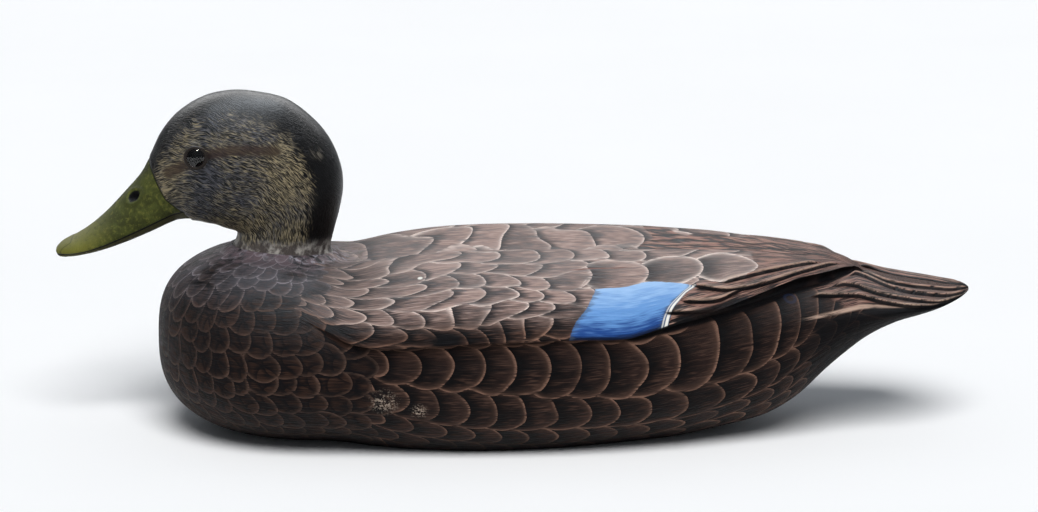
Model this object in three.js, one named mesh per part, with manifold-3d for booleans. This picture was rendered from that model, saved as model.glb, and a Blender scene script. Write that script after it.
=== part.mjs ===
// A black duck gunning decoy, carved in wood and painted: a flat-bottomed body with folded wings in relief
// and a fanned tail, a separately carved head with its bill, and two glass eyes set into the head.
// Millimetres, +Z up. The bill points along -X and the tail along +X. The origin is on the flat bottom,
// halfway between the tip of the bill and the tip of the tail.
import * as THREE from "three";
import { mergeVertices } from "three/addons/utils/BufferGeometryUtils.js";
import Module from "manifold-3d";

const wasm = await Module();
wasm.setup();

// Driving dimensions
const length = 445; // tip of bill to tip of tail
const breastX = -172.8; // foremost point of the breast
const tailX = length / 2;
const bodyHalfWidth = 83;
const widestHeight = 45; // height of the body's widest line amidships
const breastCentreX = -90; // where the round of the breast ends and the long flank begins
const tailRoundX = 186; // where the end of the tail begins to round in
const wingTipX = 170;
// The flat that the head stands on falls a little towards the tail.
const seat = { x: -112, height: 86.9, slope: 0.06, halfLength: 26, halfWidth: 24.5 };
const eye = { x: -151.7, z: 136.8, radius: 5, socketGap: 0.3, proud: 2.2, depth: 3.6 };
const nostril = { x: -183.3, z: 115.3, halfLength: 2.7, halfHeight: 1.4, depth: 1.6, pitch: 0.7 };

// A smooth curve through [x, value] pairs, level outside them.
function through(points) {
  const slopeAt = (i) => {
    const a = points[Math.max(i - 1, 0)];
    const b = points[Math.min(i + 1, points.length - 1)];
    return (b[1] - a[1]) / (b[0] - a[0]);
  };
  return (x) => {
    if (x <= points[0][0]) return points[0][1];
    if (x >= points[points.length - 1][0]) return points[points.length - 1][1];
    const i = points.findIndex((p) => p[0] > x) - 1;
    const [x0, v0] = points[i];
    const [x1, v1] = points[i + 1];
    const h = x1 - x0;
    const t = (x - x0) / h;
    const a = v0 * (1 + 2 * t) + h * slopeAt(i) * t;
    const b = v1 * (3 - 2 * t) - h * slopeAt(i + 1) * (1 - t);
    return a * (1 - t) ** 2 + b * t ** 2;
  };
}

const clamp01 = (v) => Math.min(Math.max(v, 0), 1);
const mix = (a, b, t) => a + (b - a) * t;
const smoothstep = (a, b, v) => {
  const t = clamp01((v - a) / (b - a));
  return t * t * (3 - 2 * t);
};
const bell = (v, width) => Math.exp(-((v / width) ** 2));
// A quarter of a superellipse: 1 at distance 0, falling to 0 at distance 1.
const round = (distance, power) => (1 - clamp01(distance) ** power) ** (1 / power);

// Body outlines, each a function of x
const flankWidth = through([[-90, 83], [-50, 83.4], [0, 83], [40, 79.5], [80, 71], [110, 61], [140, 50],
  [160, 43.5], [174, 40], [tailRoundX, 38]]);
const widestLine = through([[-90, 45], [0, 45], [60, 47.5], [110, 53.5], [140, 58], [160, 60.8],
  [tailRoundX, 64.2], [205, 65], [tailX, 68]]);
const keelLine = through([[-90, -3.4], [-80, -4.2], [-66, -6.8], [-45, -9.8], [-15, -11.4], [22, -8.8],
  [42, -6.4], [68, -3.6], [81, -2.2], [100, 1.6], [120, 6.2], [130, 10.8], [140, 17.8], [151, 28.8],
  [162, 38.4], [172, 46], [tailRoundX, 53.6], [197, 57.6], [205, 60.6], [214, 63.8], [tailX, 66.8]]);
const backLine = through([[-90, 85.4], [-79, 85.4], [-60, 89.8], [-40, 93], [-20, 94.6], [0, 95.2],
  [30, 95.4], [60, 94.8], [75, 93.4], [96, 90.4], [116, 86.4], [135, 82.8], [150, 81], [162, 79.4],
  [170, 77.8], [184, 74], [194, 72], [204, 70.6], [213, 69.2], [tailX, 68.8]]);
const breastLength = breastCentreX - breastX;
const chestRise = through([[-150, 46.2], [-141, 46.2], [-130, 45.4], [-118, 44.1], [-104, 42.2],
  [-90, 40.4]]);
const frontShare = (x) => (breastCentreX - x) / breastLength;

const halfWidth = (x) => {
  if (x < breastCentreX) return bodyHalfWidth * round(frontShare(x), 2.05);
  if (x < tailRoundX) return flankWidth(x);
  return flankWidth(x) * Math.max(round((x - tailRoundX) / (tailX - tailRoundX), 1.6), 0.05);
};
const keel = (x) => {
  if (x >= breastCentreX) return keelLine(x);
  return widestHeight - (widestHeight - keelLine(breastCentreX)) * round(frontShare(x), 2.7);
};
const back = (x) => {
  if (x < breastCentreX) return widestHeight + chestRise(x) * round(frontShare(x), 3.1);
  return backLine(x);
};
// How square the section is above and below the widest line
const upperFullness = through([[-172, 2.2], [-90, 2.6], [60, 2.5], [120, 2.3], [160, 2.1], [190, 1.8],
  [tailX, 1.8]]);
const lowerFullness = through([[-172, 2.1], [145, 2.1], [180, 1.7], [tailX, 1.7]]);
// The valley between the folded wings
const grooveDepth = through([[-92, 0], [-78, 3.5], [-55, 7.5], [-20, 10], [60, 9.5], [100, 8], [130, 5],
  [155, 2.5], [172, 0.6], [180, 0]]);
const grooveHalfWidth = through([[-92, 24], [-60, 32], [-20, 34], [40, 34], [90, 27], [120, 19], [145, 12],
  [170, 6]]);

// Folded wings: the height of the lower edge, and how far the wing stands proud there of flank and rump
const wingEdgeHeight = through([[-100, 70], [-86, 63.5], [-75, 58.8], [-61, 56.8], [-43, 57.4], [-23, 58.8],
  [0, 59.6], [28, 60.4], [54, 60.2], [62, 61.8], [72, 64.4], [84, 67], [96, 69.2], [110, 72], [135, 76.2],
  [152, 77.8], [160, 78.6], [168, 78.4]]);
const wingThickness = through([[-98, 0], [-80, 1], [-40, 1.4], [45, 1.4], [62, 1.8], [80, 2.8], [105, 4.2],
  [130, 5.2], [148, 4.8], [160, 3.4], [169, 1.6]]);
const wingProud = (x) => wingThickness(x) * (1 - smoothstep(wingTipX - 1.5, wingTipX + 1.5, x));

// Lower edges of the overlapping feathers, as shares of the wing from its edge to the midline, and of the
// tail from its side to the midline. Each shows from one x to another.
const featherStep = 1.4;
const wingFeathers = [
  { line: through([[70, 0.12], [83, 0.06], [91, 0.025], [105, 0.02]]), from: 70, to: 98 },
  { line: through([[70, 0.25], [83, 0.155], [98, 0.095], [107, 0.125], [125, 0.11]]), from: 78, to: 112 },
  {
    line: through([[70, 0.42], [88, 0.28], [96, 0.215], [104, 0.16], [120, 0.115], [135, 0.125],
      [145, 0.18], [156, 0.32], [168, 0.4]]),
    from: 84,
    to: 160,
  },
  {
    line: through([[70, 0.5], [88, 0.36], [100, 0.28], [110, 0.285], [117, 0.3], [131, 0.325],
      [144, 0.385], [156, 0.5], [168, 0.58]]),
    from: 98,
    to: 150,
  },
];
const tailFeathers = [
  {
    line: through([[146, 0.69], [166, 0.44], [183, 0.29], [204, 0.125], [216, 0.08]]),
    from: 142,
    to: 214,
  },
  {
    line: through([[146, 0.84], [158, 0.76], [171, 0.54], [193, 0.41], [211, 0.18], [tailX, 0.14]]),
    from: 153,
    to: 220,
  },
  {
    line: through([[146, 0.92], [166, 0.9], [183, 0.71], [203, 0.58], [218, 0.417]]),
    from: 161,
    to: 224,
  },
  {
    line: through([[146, 0.97], [171, 0.965], [181, 0.86], [203, 0.85], [tailX, 0.81]]),
    from: 168,
    to: 230,
  },
];

// A feather lies like a clapboard: its lower edge stands proud and it thins towards the next one up.
function clapboards(x, share, feathers) {
  let raised = 0;
  feathers.forEach(({ line, from, to }, i) => {
    const start = line(x);
    if (share < start) return;
    const end = i + 1 < feathers.length ? feathers[i + 1].line(x) : start + 0.2;
    const height = featherStep * smoothstep(from, from + 6, x) * (1 - smoothstep(to - 8, to, x));
    raised = height * (1 - smoothstep(start, end, share));
  });
  return raised;
}

// The half section at x: the angle runs from -90 degrees under the keel, through 0 at the widest line, to 90
// on top.
function sectionPoint(x, angle) {
  const w = halfWidth(x);
  const z0 = widestLine(x < breastCentreX ? breastCentreX : x);
  const side = Math.max(Math.cos(angle), 0);
  const rise = Math.abs(Math.sin(angle));
  if (angle < 0) {
    const p = 2 / lowerFullness(x);
    return [w * side ** p, Math.max(z0 - (z0 - keel(x)) * rise ** p, 0)]; // planed flat underneath
  }
  const p = 2 / upperFullness(x);
  const y = w * side ** p;
  const valley = grooveDepth(x) * (1 - smoothstep(0, grooveHalfWidth(x), y));
  return [y, z0 + (back(x) - z0) * rise ** p - valley];
}

function edgeAngle(x) {
  const z0 = widestLine(Math.max(x, breastCentreX));
  const top = Math.max(back(x) - z0, 1);
  const share = clamp01((wingEdgeHeight(x) - z0) / top);
  const tipAngle = 1.42; // the wing's edge nearly meets the midline at its tip
  if (x > wingTipX) return mix(tipAngle, 1.3, (x - wingTipX) / (tailX - wingTipX));
  return Math.min(Math.asin(share ** (upperFullness(x) / 2)), tipAngle);
}

// One point of the carved surface. Rows run over the belly from 0 to 1, the flank to 2 and the wing to 3;
// above marks the row just above a step.
function carvedPoint(x, row, above) {
  const edge = edgeAngle(x);
  const angleAt = (r) => {
    if (r <= 1) return (r - 1) * (Math.PI / 2);
    if (r <= 2) return (r - 1) * edge;
    return edge + (r - 2) * (Math.PI / 2 - edge);
  };
  const [y, z] = sectionPoint(x, angleAt(row));
  const small = 0.02;
  const [yBefore, zBefore] = sectionPoint(x, Math.max(angleAt(row) - small, -Math.PI / 2));
  const [yAfter, zAfter] = sectionPoint(x, Math.min(angleAt(row) + small, Math.PI / 2));
  const run = Math.hypot(yAfter - yBefore, zAfter - zBefore) || 1;
  const normal = [(zAfter - zBefore) / run, (yBefore - yAfter) / run];
  let out = 0;
  if (row > 2 || (row === 2 && above)) {
    const share = row - 2 + (above ? 1e-4 : -1e-4);
    const spread = mix(1 - smoothstep(0.1, 0.75, share), 1, smoothstep(40, 120, x));
    out += wingProud(x) * spread + clapboards(x, share, wingFeathers);
  } else if (row > 1) {
    const share = row - 1 + (above ? 1e-4 : -1e-4);
    out -= 1.6 * bell(1 - share, 0.6) * smoothstep(-96, -70, x) * (1 - smoothstep(40, 70, x));
    out += clapboards(x, share, tailFeathers);
  }
  const narrow = clamp01(halfWidth(x) / 12); // the carving fades out on the point of the tail
  return [y + normal[0] * out * narrow, z + normal[1] * out * narrow];
}

// The belly row along the edge of the flat bottom, 0 where the belly is clear of it.
function flatEdgeRow(x) {
  if (keel(x) >= 0) return 0;
  const z0 = widestLine(Math.max(x, breastCentreX));
  return 1 - Math.asin((z0 / (z0 - keel(x))) ** (lowerFullness(x) / 2)) / (Math.PI / 2);
}

// Rows of the half section, bottom to top, as [row, above]. They slide on to the feathers' edges where those
// show, two rows to an edge: one below the step and one above it.
function rowsAt(x) {
  const bellyRows = 6;
  const stepGap = 0.008;
  const flatEdge = Math.max(flatEdgeRow(x), 0.08);
  const rows = [[0, false], [flatEdge / 2, false]];
  for (let i = 0; i <= bellyRows; i++) rows.push([mix(flatEdge, 1, i / bellyRows), false]);
  const slideOn = (zone, feathers, plainShares, aligned) => {
    const shares = feathers.flatMap(({ line }) => [
      [line(x), false],
      [line(x) + stepGap, true],
    ]);
    const all = [...plainShares.below, ...shares, ...plainShares.beyond];
    all.forEach((entry, i) => {
      const [share, above] = Array.isArray(entry) ? entry : [entry, false];
      rows.push([zone + mix((i + 1) / (all.length + 1), share, aligned), above]);
    });
  };
  slideOn(1, tailFeathers, { below: [0.05], beyond: [] }, smoothstep(60, 140, x));
  rows.push([2, false], [2.004, true]);
  slideOn(2, wingFeathers, { below: [], beyond: [0.74, 0.84, 0.93] }, smoothstep(20, 68, x));
  rows.push([3, false]);
  return rows;
}

// Stations along the body, closer where it turns quickly.
function stations() {
  const xs = [];
  const breastSteps = 13;
  for (let i = 1; i <= breastSteps; i++) {
    xs.push(breastCentreX - breastLength * Math.cos((i / breastSteps) * (Math.PI / 2)));
  }
  for (let x = -83; x < -48; x += 7) xs.push(x);
  for (let x = -41; x < 60; x += 14) xs.push(x);
  for (let x = 66; x < wingTipX - 10; x += 8) xs.push(x);
  xs.push(wingTipX - 7, wingTipX - 3, wingTipX - 1.4, wingTipX + 1.4, wingTipX + 5);
  const tailSteps = 8;
  for (let i = 1; i <= tailSteps; i++) {
    xs.push(mix(wingTipX + 5, tailX, Math.sin((i / tailSteps) * (Math.PI / 2))));
  }
  return xs;
}

// A closed solid through rings of points, each ring [x, y, z] triples, with a fan over each end.
function skin(rings, firstPoint, lastPoint) {
  const count = rings[0].length;
  const positions = [...rings.flat(2), ...firstPoint, ...lastPoint];
  const first = rings.length * count;
  const last = first + 1;
  const index = [];
  for (let r = 0; r < rings.length - 1; r++) {
    for (let i = 0; i < count; i++) {
      const j = (i + 1) % count;
      const [a, b] = [r * count + i, r * count + j];
      index.push(a, b, a + count, b, b + count, a + count);
    }
  }
  const end = (rings.length - 1) * count;
  for (let i = 0; i < count; i++) {
    const j = (i + 1) % count;
    index.push(first, j, i, last, end + i, end + j);
  }
  return new THREE.BufferGeometry()
    .setAttribute("position", new THREE.BufferAttribute(new Float32Array(positions), 3))
    .setIndex(index);
}

// A geometry as a manifold-3d solid, its shared vertices merged, and back again.
function solidOf(geometry) {
  const bare = geometry.index ? geometry.toNonIndexed() : geometry.clone();
  bare.deleteAttribute("normal");
  bare.deleteAttribute("uv");
  const merged = mergeVertices(bare, 1e-3);
  return new wasm.Manifold(
    new wasm.Mesh({
      numProp: 3,
      vertProperties: merged.attributes.position.array,
      triVerts: new Uint32Array(merged.index.array),
    }),
  );
}
function geometryOf(solid) {
  const mesh = solid.getMesh();
  const geometry = new THREE.BufferGeometry()
    .setAttribute("position", new THREE.BufferAttribute(new Float32Array(mesh.vertProperties), 3))
    .setIndex(new THREE.BufferAttribute(mesh.triVerts, 1));
  geometry.computeVertexNormals();
  return geometry;
}

function bodyGeometry() {
  const rings = stations().map((x) => {
    const half = rowsAt(x).map(([row, above]) => carvedPoint(x, row, above));
    const left = half.map(([y, z]) => [x, y, z]);
    const right = half.slice(1, -1).reverse().map(([y, z]) => [x, -y, z]);
    return [...left, ...right];
  });
  const whole = solidOf(skin(rings, [breastX, 0, widestHeight], [tailX, 0, 68.2]));
  const clearance = 30;
  const room = new THREE.CylinderGeometry(1, 1, clearance, 36)
    .rotateX(Math.PI / 2)
    .translate(0, 0, clearance / 2)
    .scale(seat.halfLength, seat.halfWidth, 1)
    .rotateY(Math.atan(seat.slope))
    .translate(seat.x, 0, seat.height);
  return geometryOf(whole.subtract(solidOf(room)));
}

// The head is a loft whose sections turn like the leaves of a fan, from the seat, round the crown, to the
// bill's tip. outer follows the nape, crown, forehead and ridge of the bill; inner follows the throat, chin
// and the bill's underside; both are [x, z]. wide is the half width, and at the share of the way from inner
// to outer where it lies.
const headSections = [
  { outer: [-86.9, 85.7], inner: [-137.2, 88.7], wide: 24.2, at: 0.5, upper: 2, lower: 2 },
  { outer: [-88.5, 89.4], inner: [-135.6, 91.2], wide: 22.9, at: 0.5, upper: 2, lower: 2 },
  { outer: [-86.4, 98.4], inner: [-134.4, 94], wide: 22.8, at: 0.5, upper: 2, lower: 2 },
  { outer: [-83.9, 107.6], inner: [-134, 95.8], wide: 23.6, at: 0.5, upper: 2, lower: 2 },
  { outer: [-82.1, 118.4], inner: [-134.4, 97], wide: 24.6, at: 0.48, upper: 2, lower: 2 },
  { outer: [-83, 128.8], inner: [-136, 97.8], wide: 25.4, at: 0.47, upper: 2, lower: 2.1 },
  { outer: [-87.6, 140.8], inner: [-138.2, 98.4], wide: 26, at: 0.46, upper: 2, lower: 2.2 },
  { outer: [-95.6, 151.4], inner: [-141, 99.2], wide: 26.2, at: 0.45, upper: 2, lower: 2.2 },
  { outer: [-108.6, 161.4], inner: [-144.2, 100.4], wide: 26.2, at: 0.44, upper: 2, lower: 2.2 },
  { outer: [-123, 165.2], inner: [-148, 101], wide: 26, at: 0.44, upper: 2, lower: 2.2 },
  { outer: [-136.6, 166], inner: [-151.4, 101.8], wide: 25.2, at: 0.44, upper: 2, lower: 2.2 },
  { outer: [-149.8, 163], inner: [-154.6, 102.2], wide: 23.6, at: 0.43, upper: 2, lower: 2.2 },
  { outer: [-161.8, 155.6], inner: [-157.8, 102.2], wide: 21, at: 0.42, upper: 2, lower: 2.1 },
  { outer: [-170, 146], inner: [-160.4, 101.9], wide: 17.6, at: 0.4, upper: 2, lower: 2 },
  { outer: [-175.4, 135.2], inner: [-163, 101.4], wide: 14.4, at: 0.38, upper: 2, lower: 2 },
  { outer: [-180.4, 125.8], inner: [-167, 99.8], wide: 12.6, at: 0.36, upper: 1.9, lower: 2.2 },
  { outer: [-188.4, 116.6], inner: [-176.6, 95.4], wide: 11.6, at: 0.34, upper: 1.8, lower: 2.4 },
  { outer: [-197, 107.4], inner: [-187.2, 91], wide: 11.8, at: 0.34, upper: 1.9, lower: 2.4 },
  { outer: [-205.8, 99.8], inner: [-198, 87.3], wide: 13, at: 0.36, upper: 2.1, lower: 2.4 },
  { outer: [-213.4, 94.9], inner: [-207.6, 84.9], wide: 13.4, at: 0.4, upper: 2.2, lower: 2.2 },
  { outer: [-218.8, 91.9], inner: [-214.8, 83.6], wide: 11.4, at: 0.45, upper: 2.2, lower: 2 },
  { outer: [-221.6, 89.4], inner: [-219.6, 83.9], wide: 7.6, at: 0.5, upper: 2, lower: 2 },
  { outer: [-222.3, 87.6], inner: [-221.7, 85.4], wide: 2.6, at: 0.5, upper: 2, lower: 2 },
];

// A smooth curve through a list of numbers at whole steps.
function along(values, s) {
  const i = Math.min(Math.max(Math.floor(s), 0), values.length - 2);
  const t = s - i;
  const at = (k) => values[Math.min(Math.max(k, 0), values.length - 1)];
  const [a, b, c, d] = [at(i - 1), at(i), at(i + 1), at(i + 2)];
  return b + 0.5 * t * (c - a + t * (2 * a - 5 * b + 4 * c - d + t * (3 * (b - c) + d - a)));
}

function headRing(s, count) {
  const pick = (get) => along(headSections.map(get), s);
  const [ox, oz] = [pick((q) => q.outer[0]), pick((q) => q.outer[1])];
  const [ix, iz] = [pick((q) => q.inner[0]), pick((q) => q.inner[1])];
  const [wide, at] = [pick((q) => q.wide), pick((q) => q.at)];
  const [upper, lower] = [pick((q) => q.upper), pick((q) => q.lower)];
  const ring = [];
  for (let i = 0; i < count; i++) {
    const a = (i / count) * 2 * Math.PI; // 0 on the outer line, half a turn on the inner line
    const power = 2 / (Math.cos(a) > 0 ? upper : lower);
    const up = Math.sign(Math.cos(a)) * Math.abs(Math.cos(a)) ** power;
    const share = at + up * (up > 0 ? 1 - at : at);
    const y = Math.sign(Math.sin(a)) * wide * Math.abs(Math.sin(a)) ** power;
    ring.push([mix(ix, ox, share), y, mix(iz, oz, share)]);
  }
  return ring;
}

function headGeometry() {
  const rings = [];
  const count = 30;
  for (let s = 0; s <= headSections.length - 1; s += 0.5) rings.push(headRing(s, count));
  const centre = (ring) => {
    const sum = ring.reduce((a, p) => [a[0] + p[0], a[1] + p[1], a[2] + p[2]], [0, 0, 0]);
    return sum.map((v) => v / ring.length);
  };
  const base = centre(rings[0]);
  return solidOf(skin(rings, base, [-tailX, 0, 86.6]));
}

// How far out the side of the head stands at a place seen from the side.
function sideAt(geometry, x, z) {
  const probe = new THREE.Raycaster(new THREE.Vector3(x, 60, z), new THREE.Vector3(0, -1, 0));
  const mesh = new THREE.Mesh(geometry, new THREE.MeshBasicMaterial());
  return probe.intersectObject(mesh)[0].point.y;
}

// A glass eye: a disc with a domed front and a flat back, its axis along +Y, the back at y = 0.
function eyeGeometry() {
  const bevel = 0.4;
  const profile = [
    new THREE.Vector2(0, 0),
    new THREE.Vector2(eye.radius - bevel, 0),
    new THREE.Vector2(eye.radius, bevel),
  ];
  const rim = eye.depth - 0.6;
  const dome = eye.proud + 0.6;
  const steps = 5;
  for (let i = 0; i < steps; i++) {
    const a = (i / steps) * (Math.PI / 2);
    profile.push(new THREE.Vector2(eye.radius * Math.cos(a), rim + dome * Math.sin(a)));
  }
  profile.push(new THREE.Vector2(0, rim + dome));
  return new THREE.LatheGeometry(profile, 20);
}

const paint = {
  body: new THREE.MeshStandardMaterial({ color: "#3b2a24", roughness: 0.55, metalness: 0 }),
  head: new THREE.MeshStandardMaterial({ color: "#5b5342", roughness: 0.55, metalness: 0 }),
  eye: new THREE.MeshStandardMaterial({ color: "#0c0a0a", roughness: 0.05, metalness: 0 }),
};

const decoy = new THREE.Group();
const add = (name, geometry, material) => {
  const mesh = new THREE.Mesh(geometry, material);
  mesh.name = name;
  decoy.add(mesh);
  return mesh;
};

add("body", bodyGeometry(), paint.body);

let headSolid = headGeometry();
const headSkin = geometryOf(headSolid);
const cheek = sideAt(headSkin, eye.x, eye.z);
const beside = sideAt(headSkin, nostril.x, nostril.z);
for (const [name, side] of [["eye_left", -1], ["eye_right", 1]]) {
  // Each eye looks straight out to its side, its back sunk into a round socket.
  const socket = new THREE.CylinderGeometry(eye.radius + eye.socketGap, eye.radius + eye.socketGap, 20, 20)
    .translate(0, 10 - eye.depth - eye.socketGap, 0)
    .scale(1, side, 1);
  if (side < 0) socket.index.array.reverse();
  socket.translate(eye.x, side * cheek, eye.z);
  const hole = new THREE.SphereGeometry(1, 14, 10)
    .scale(nostril.halfLength, nostril.depth, nostril.halfHeight)
    .rotateY(-nostril.pitch)
    .translate(nostril.x, side * beside, nostril.z);
  headSolid = headSolid.subtract(solidOf(socket)).subtract(solidOf(hole));
  const glass = add(name, eyeGeometry(), paint.eye);
  glass.position.set(eye.x, side * (cheek - eye.depth), eye.z);
  if (side < 0) glass.rotation.z = Math.PI;
}
add("head", geometryOf(headSolid), paint.head);

export default decoy;
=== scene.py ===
import math
from types import SimpleNamespace

import bmesh
import bpy
import numpy as np
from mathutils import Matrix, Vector


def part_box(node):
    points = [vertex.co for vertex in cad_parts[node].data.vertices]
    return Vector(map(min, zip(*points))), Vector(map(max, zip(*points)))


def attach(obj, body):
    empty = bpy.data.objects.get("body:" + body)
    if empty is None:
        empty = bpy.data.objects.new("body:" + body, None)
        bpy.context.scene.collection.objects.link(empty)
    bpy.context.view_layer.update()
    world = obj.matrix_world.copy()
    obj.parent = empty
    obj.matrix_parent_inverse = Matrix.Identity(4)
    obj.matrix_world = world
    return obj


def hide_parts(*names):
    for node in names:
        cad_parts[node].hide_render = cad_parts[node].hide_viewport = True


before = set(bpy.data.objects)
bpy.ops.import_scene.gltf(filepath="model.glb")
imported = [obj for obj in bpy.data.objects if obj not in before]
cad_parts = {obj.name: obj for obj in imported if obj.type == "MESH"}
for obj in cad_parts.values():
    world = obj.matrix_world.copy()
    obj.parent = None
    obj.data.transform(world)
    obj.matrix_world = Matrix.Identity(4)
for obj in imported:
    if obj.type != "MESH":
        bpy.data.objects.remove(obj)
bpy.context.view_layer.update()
mm = 0.001
bodyLow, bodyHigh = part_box("body")
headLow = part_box("head")[0]
weldGap = 1e-7  # metres: points nearer than this are merged
print("frame loaded:", sorted(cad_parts))


# Curves and blends, on numbers or arrays

# A smooth curve through (x, value) points, level outside them
def through(points):
    xs = np.array([p[0] for p in points], float)
    values = np.array([p[1] for p in points], float)
    order = np.arange(len(xs))
    before = np.maximum(order - 1, 0)
    after = np.minimum(order + 1, len(xs) - 1)
    slopes = (values[after] - values[before]) / (xs[after] - xs[before])

    def curve(x):
        x = np.clip(np.asarray(x, float), xs[0], xs[-1])
        i = np.clip(np.searchsorted(xs, x, side="right") - 1, 0, len(xs) - 2)
        h = xs[i + 1] - xs[i]
        t = (x - xs[i]) / h
        a = values[i] * (1 + 2 * t) + h * slopes[i] * t
        b = values[i + 1] * (3 - 2 * t) - h * slopes[i + 1] * (1 - t)
        return a * (1 - t) ** 2 + b * t ** 2

    return curve


def mix(a, b, t):
    return a + (b - a) * t


def smoothstep(low, high, value):
    t = np.clip((value - low) / (high - low), 0, 1)
    return t * t * (3 - 2 * t)


def bell(value, width):
    return np.exp(-((value / width) ** 2))


# 1 between b and c, falling to 0 at a and d
def between(value, a, b, c, d):
    return smoothstep(a, b, value) * (1 - smoothstep(c, d, value))


# A quarter of a superellipse: 1 at distance 0, falling to 0 at distance 1
def roundOff(distance, power):
    return (1 - np.clip(distance, 0, 1) ** power) ** (1 / power)


# Distance from points (x, z) to a line of straight stretches, and the side of it: left is positive
def distanceToLine(x, z, line):
    best = np.full(np.shape(x), 1e9)
    side = np.ones(np.shape(x))
    for (x0, z0), (x1, z1) in zip(line[:-1], line[1:]):
        dx, dz = x1 - x0, z1 - z0
        t = np.clip(((x - x0) * dx + (z - z0) * dz) / (dx * dx + dz * dz), 0, 1)
        gap = np.hypot(x - x0 - t * dx, z - z0 - t * dz)
        cross = dx * (z - z0) - dz * (x - x0)
        closer = gap < best
        side = np.where(closer, np.where(cross >= 0, 1.0, -1.0), side)
        best = np.where(closer, gap, best)
    return best, side


# A finished bmesh becomes a smooth piece of the scene, its faces outward
def newPiece(name, bm):
    bm.normal_update()
    bmesh.ops.recalc_face_normals(bm, faces=bm.faces)
    mesh = bpy.data.meshes.new(name)
    bm.to_mesh(mesh)
    bm.free()
    mesh.shade_smooth()
    piece = bpy.data.objects.new(name, mesh)
    bpy.context.scene.collection.objects.link(piece)
    print("made", name, len(mesh.vertices), "vertices", len(mesh.polygons), "faces")
    return piece


# A grid of points in millimetres, stations along by places around, becomes a closed piece with its attributes
def gridPiece(name, points, attributes):
    stations, around = points.shape[:2]
    bm = bmesh.new()
    bmesh.ops.create_grid(bm, x_segments=around - 1, y_segments=stations - 1, size=1)
    place = bm.verts.layers.int.new("place")
    for vert in bm.verts:
        i = round((vert.co.x + 1) / 2 * (around - 1))
        j = round((vert.co.y + 1) / 2 * (stations - 1))
        vert[place] = j * around + i
        vert.co = Vector(points[j, i]) * mm
    bmesh.ops.remove_doubles(bm, verts=bm.verts, dist=weldGap)
    index = np.array([vert[place] for vert in bm.verts])
    piece = newPiece(name, bm)
    for label, values in attributes.items():
        listed = values.reshape(stations * around, -1)[index].astype(np.float32)
        if listed.shape[1] == 1:
            layer = piece.data.attributes.new(label, "FLOAT", "POINT")
            layer.data.foreach_set("value", listed.ravel())
        else:
            layer = piece.data.attributes.new(label, "FLOAT_VECTOR", "POINT")
            layer.data.foreach_set("vector", listed.ravel())
    return piece


# The body: outlines in millimetres along X, as carved

bodyShape = {
    "breastX": bodyLow.x / mm,
    "tailX": bodyHigh.x / mm,
    "halfWidth": 83,
    "widestHeight": 45,
    "breastCentreX": -90,
    "tailRoundX": 186,
    "wingTipX": 170,
    "stations": (70, 205, 55),  # breast, flank and tail
    "bellyRows": (4, 18),
    "flankRows": [12, 7, 7, 7, 8],
    "wingRows": [9, 7, 7, 12, 42],
    "tailFollow": (60, 140),  # where the rows slide on to the carved edges
    "wingFollow": (20, 68),
    "wingTipAngle": 1.42,
    "tailTopAngle": 1.3,
    "tipHeight": 68.2,
    "seat": {"x": -112, "height": 86.9, "slope": 0.06, "halfLength": 26, "halfWidth": 24.5,
             "flatShare": 0.9, "fadeShare": 1.05, "ramp": 18, "fillet": 2.3,
             "filletShares": (0.86, 0.92, 0.97, 1.2)},
}

# Carved relief in millimetres: a range of four numbers says where along X it grows and where it fades again
bodyRelief = {
    "featherStep": 1.7,
    "featherGrows": 6,
    "featherFades": 8,
    "lastFeather": 0.2,  # share of the wing or the tail
    "creviceWidth": 1,
    "creviceDepth": 0.5,
    "ledgeWidth": 1.7,
    "flankDip": 1.6,
    "flankDipShare": 0.6,
    "flankDipRange": (-96, -70, 40, 70),
    "wingThins": (0.1, 0.75),  # shares of the way up, ahead of where the whole wing stands out
    "wingStandsOut": (40, 120),
    "wingEnd": 1.5,
    # underWing, wallShade, stripShade and the pocket's shade also say where and how strongly the paint
    # darkens as painted shade
    "underWing": {"width": 1.3, "perThickness": 0.45, "from": (40, 75), "fade": 8, "depth": 0.7},
    "wallShade": 0.55,
    "wallFrom": (56, 80),
    "stripShares": (0.015, 0.1),
    "stripRange": (74, 80, 100, 118),
    "stripShade": 0.6,
    "pocket": {"x": -31, "length": 9, "share": 0.03, "height": 0.06, "shade": 0.6},
    "thinTail": 12,  # relief fades where the body is narrower than this
}
breastX = bodyShape["breastX"]
tailX = bodyShape["tailX"]
breastCentreX = bodyShape["breastCentreX"]
tailRoundX = bodyShape["tailRoundX"]
wingTipX = bodyShape["wingTipX"]
widestHeight = bodyShape["widestHeight"]

flankWidth = through([(-90, 83), (-50, 83.4), (0, 83), (40, 79.5), (80, 71), (110, 61), (140, 50),
                      (160, 43.5), (174, 40), (tailRoundX, 38)])
widestLine = through([(-90, 45), (0, 45), (60, 47.5), (110, 53.5), (140, 58), (160, 60.8),
                      (tailRoundX, 64.2), (205, 65), (tailX, 68)])
keelLine = through([(-90, -3.4), (-80, -4.2), (-66, -6.8), (-45, -9.8), (-15, -11.4), (22, -8.8),
                    (42, -6.4), (68, -3.6), (81, -2.2), (100, 1.6), (120, 6.2), (130, 10.8), (140, 17.8),
                    (151, 28.8), (162, 38.4), (172, 46), (tailRoundX, 53.6), (197, 57.6), (205, 60.6),
                    (214, 63.8), (tailX, 66.8)])
backLine = through([(-90, 85.4), (-79, 85.4), (-60, 89.8), (-40, 93), (-20, 94.6), (0, 95.2), (30, 95.4),
                    (60, 94.8), (75, 93.4), (96, 90.4), (116, 86.4), (135, 82.8), (150, 81), (162, 79.4),
                    (170, 77.8), (184, 74), (194, 72), (204, 70.6), (213, 69.2), (tailX, 68.8)])
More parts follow.
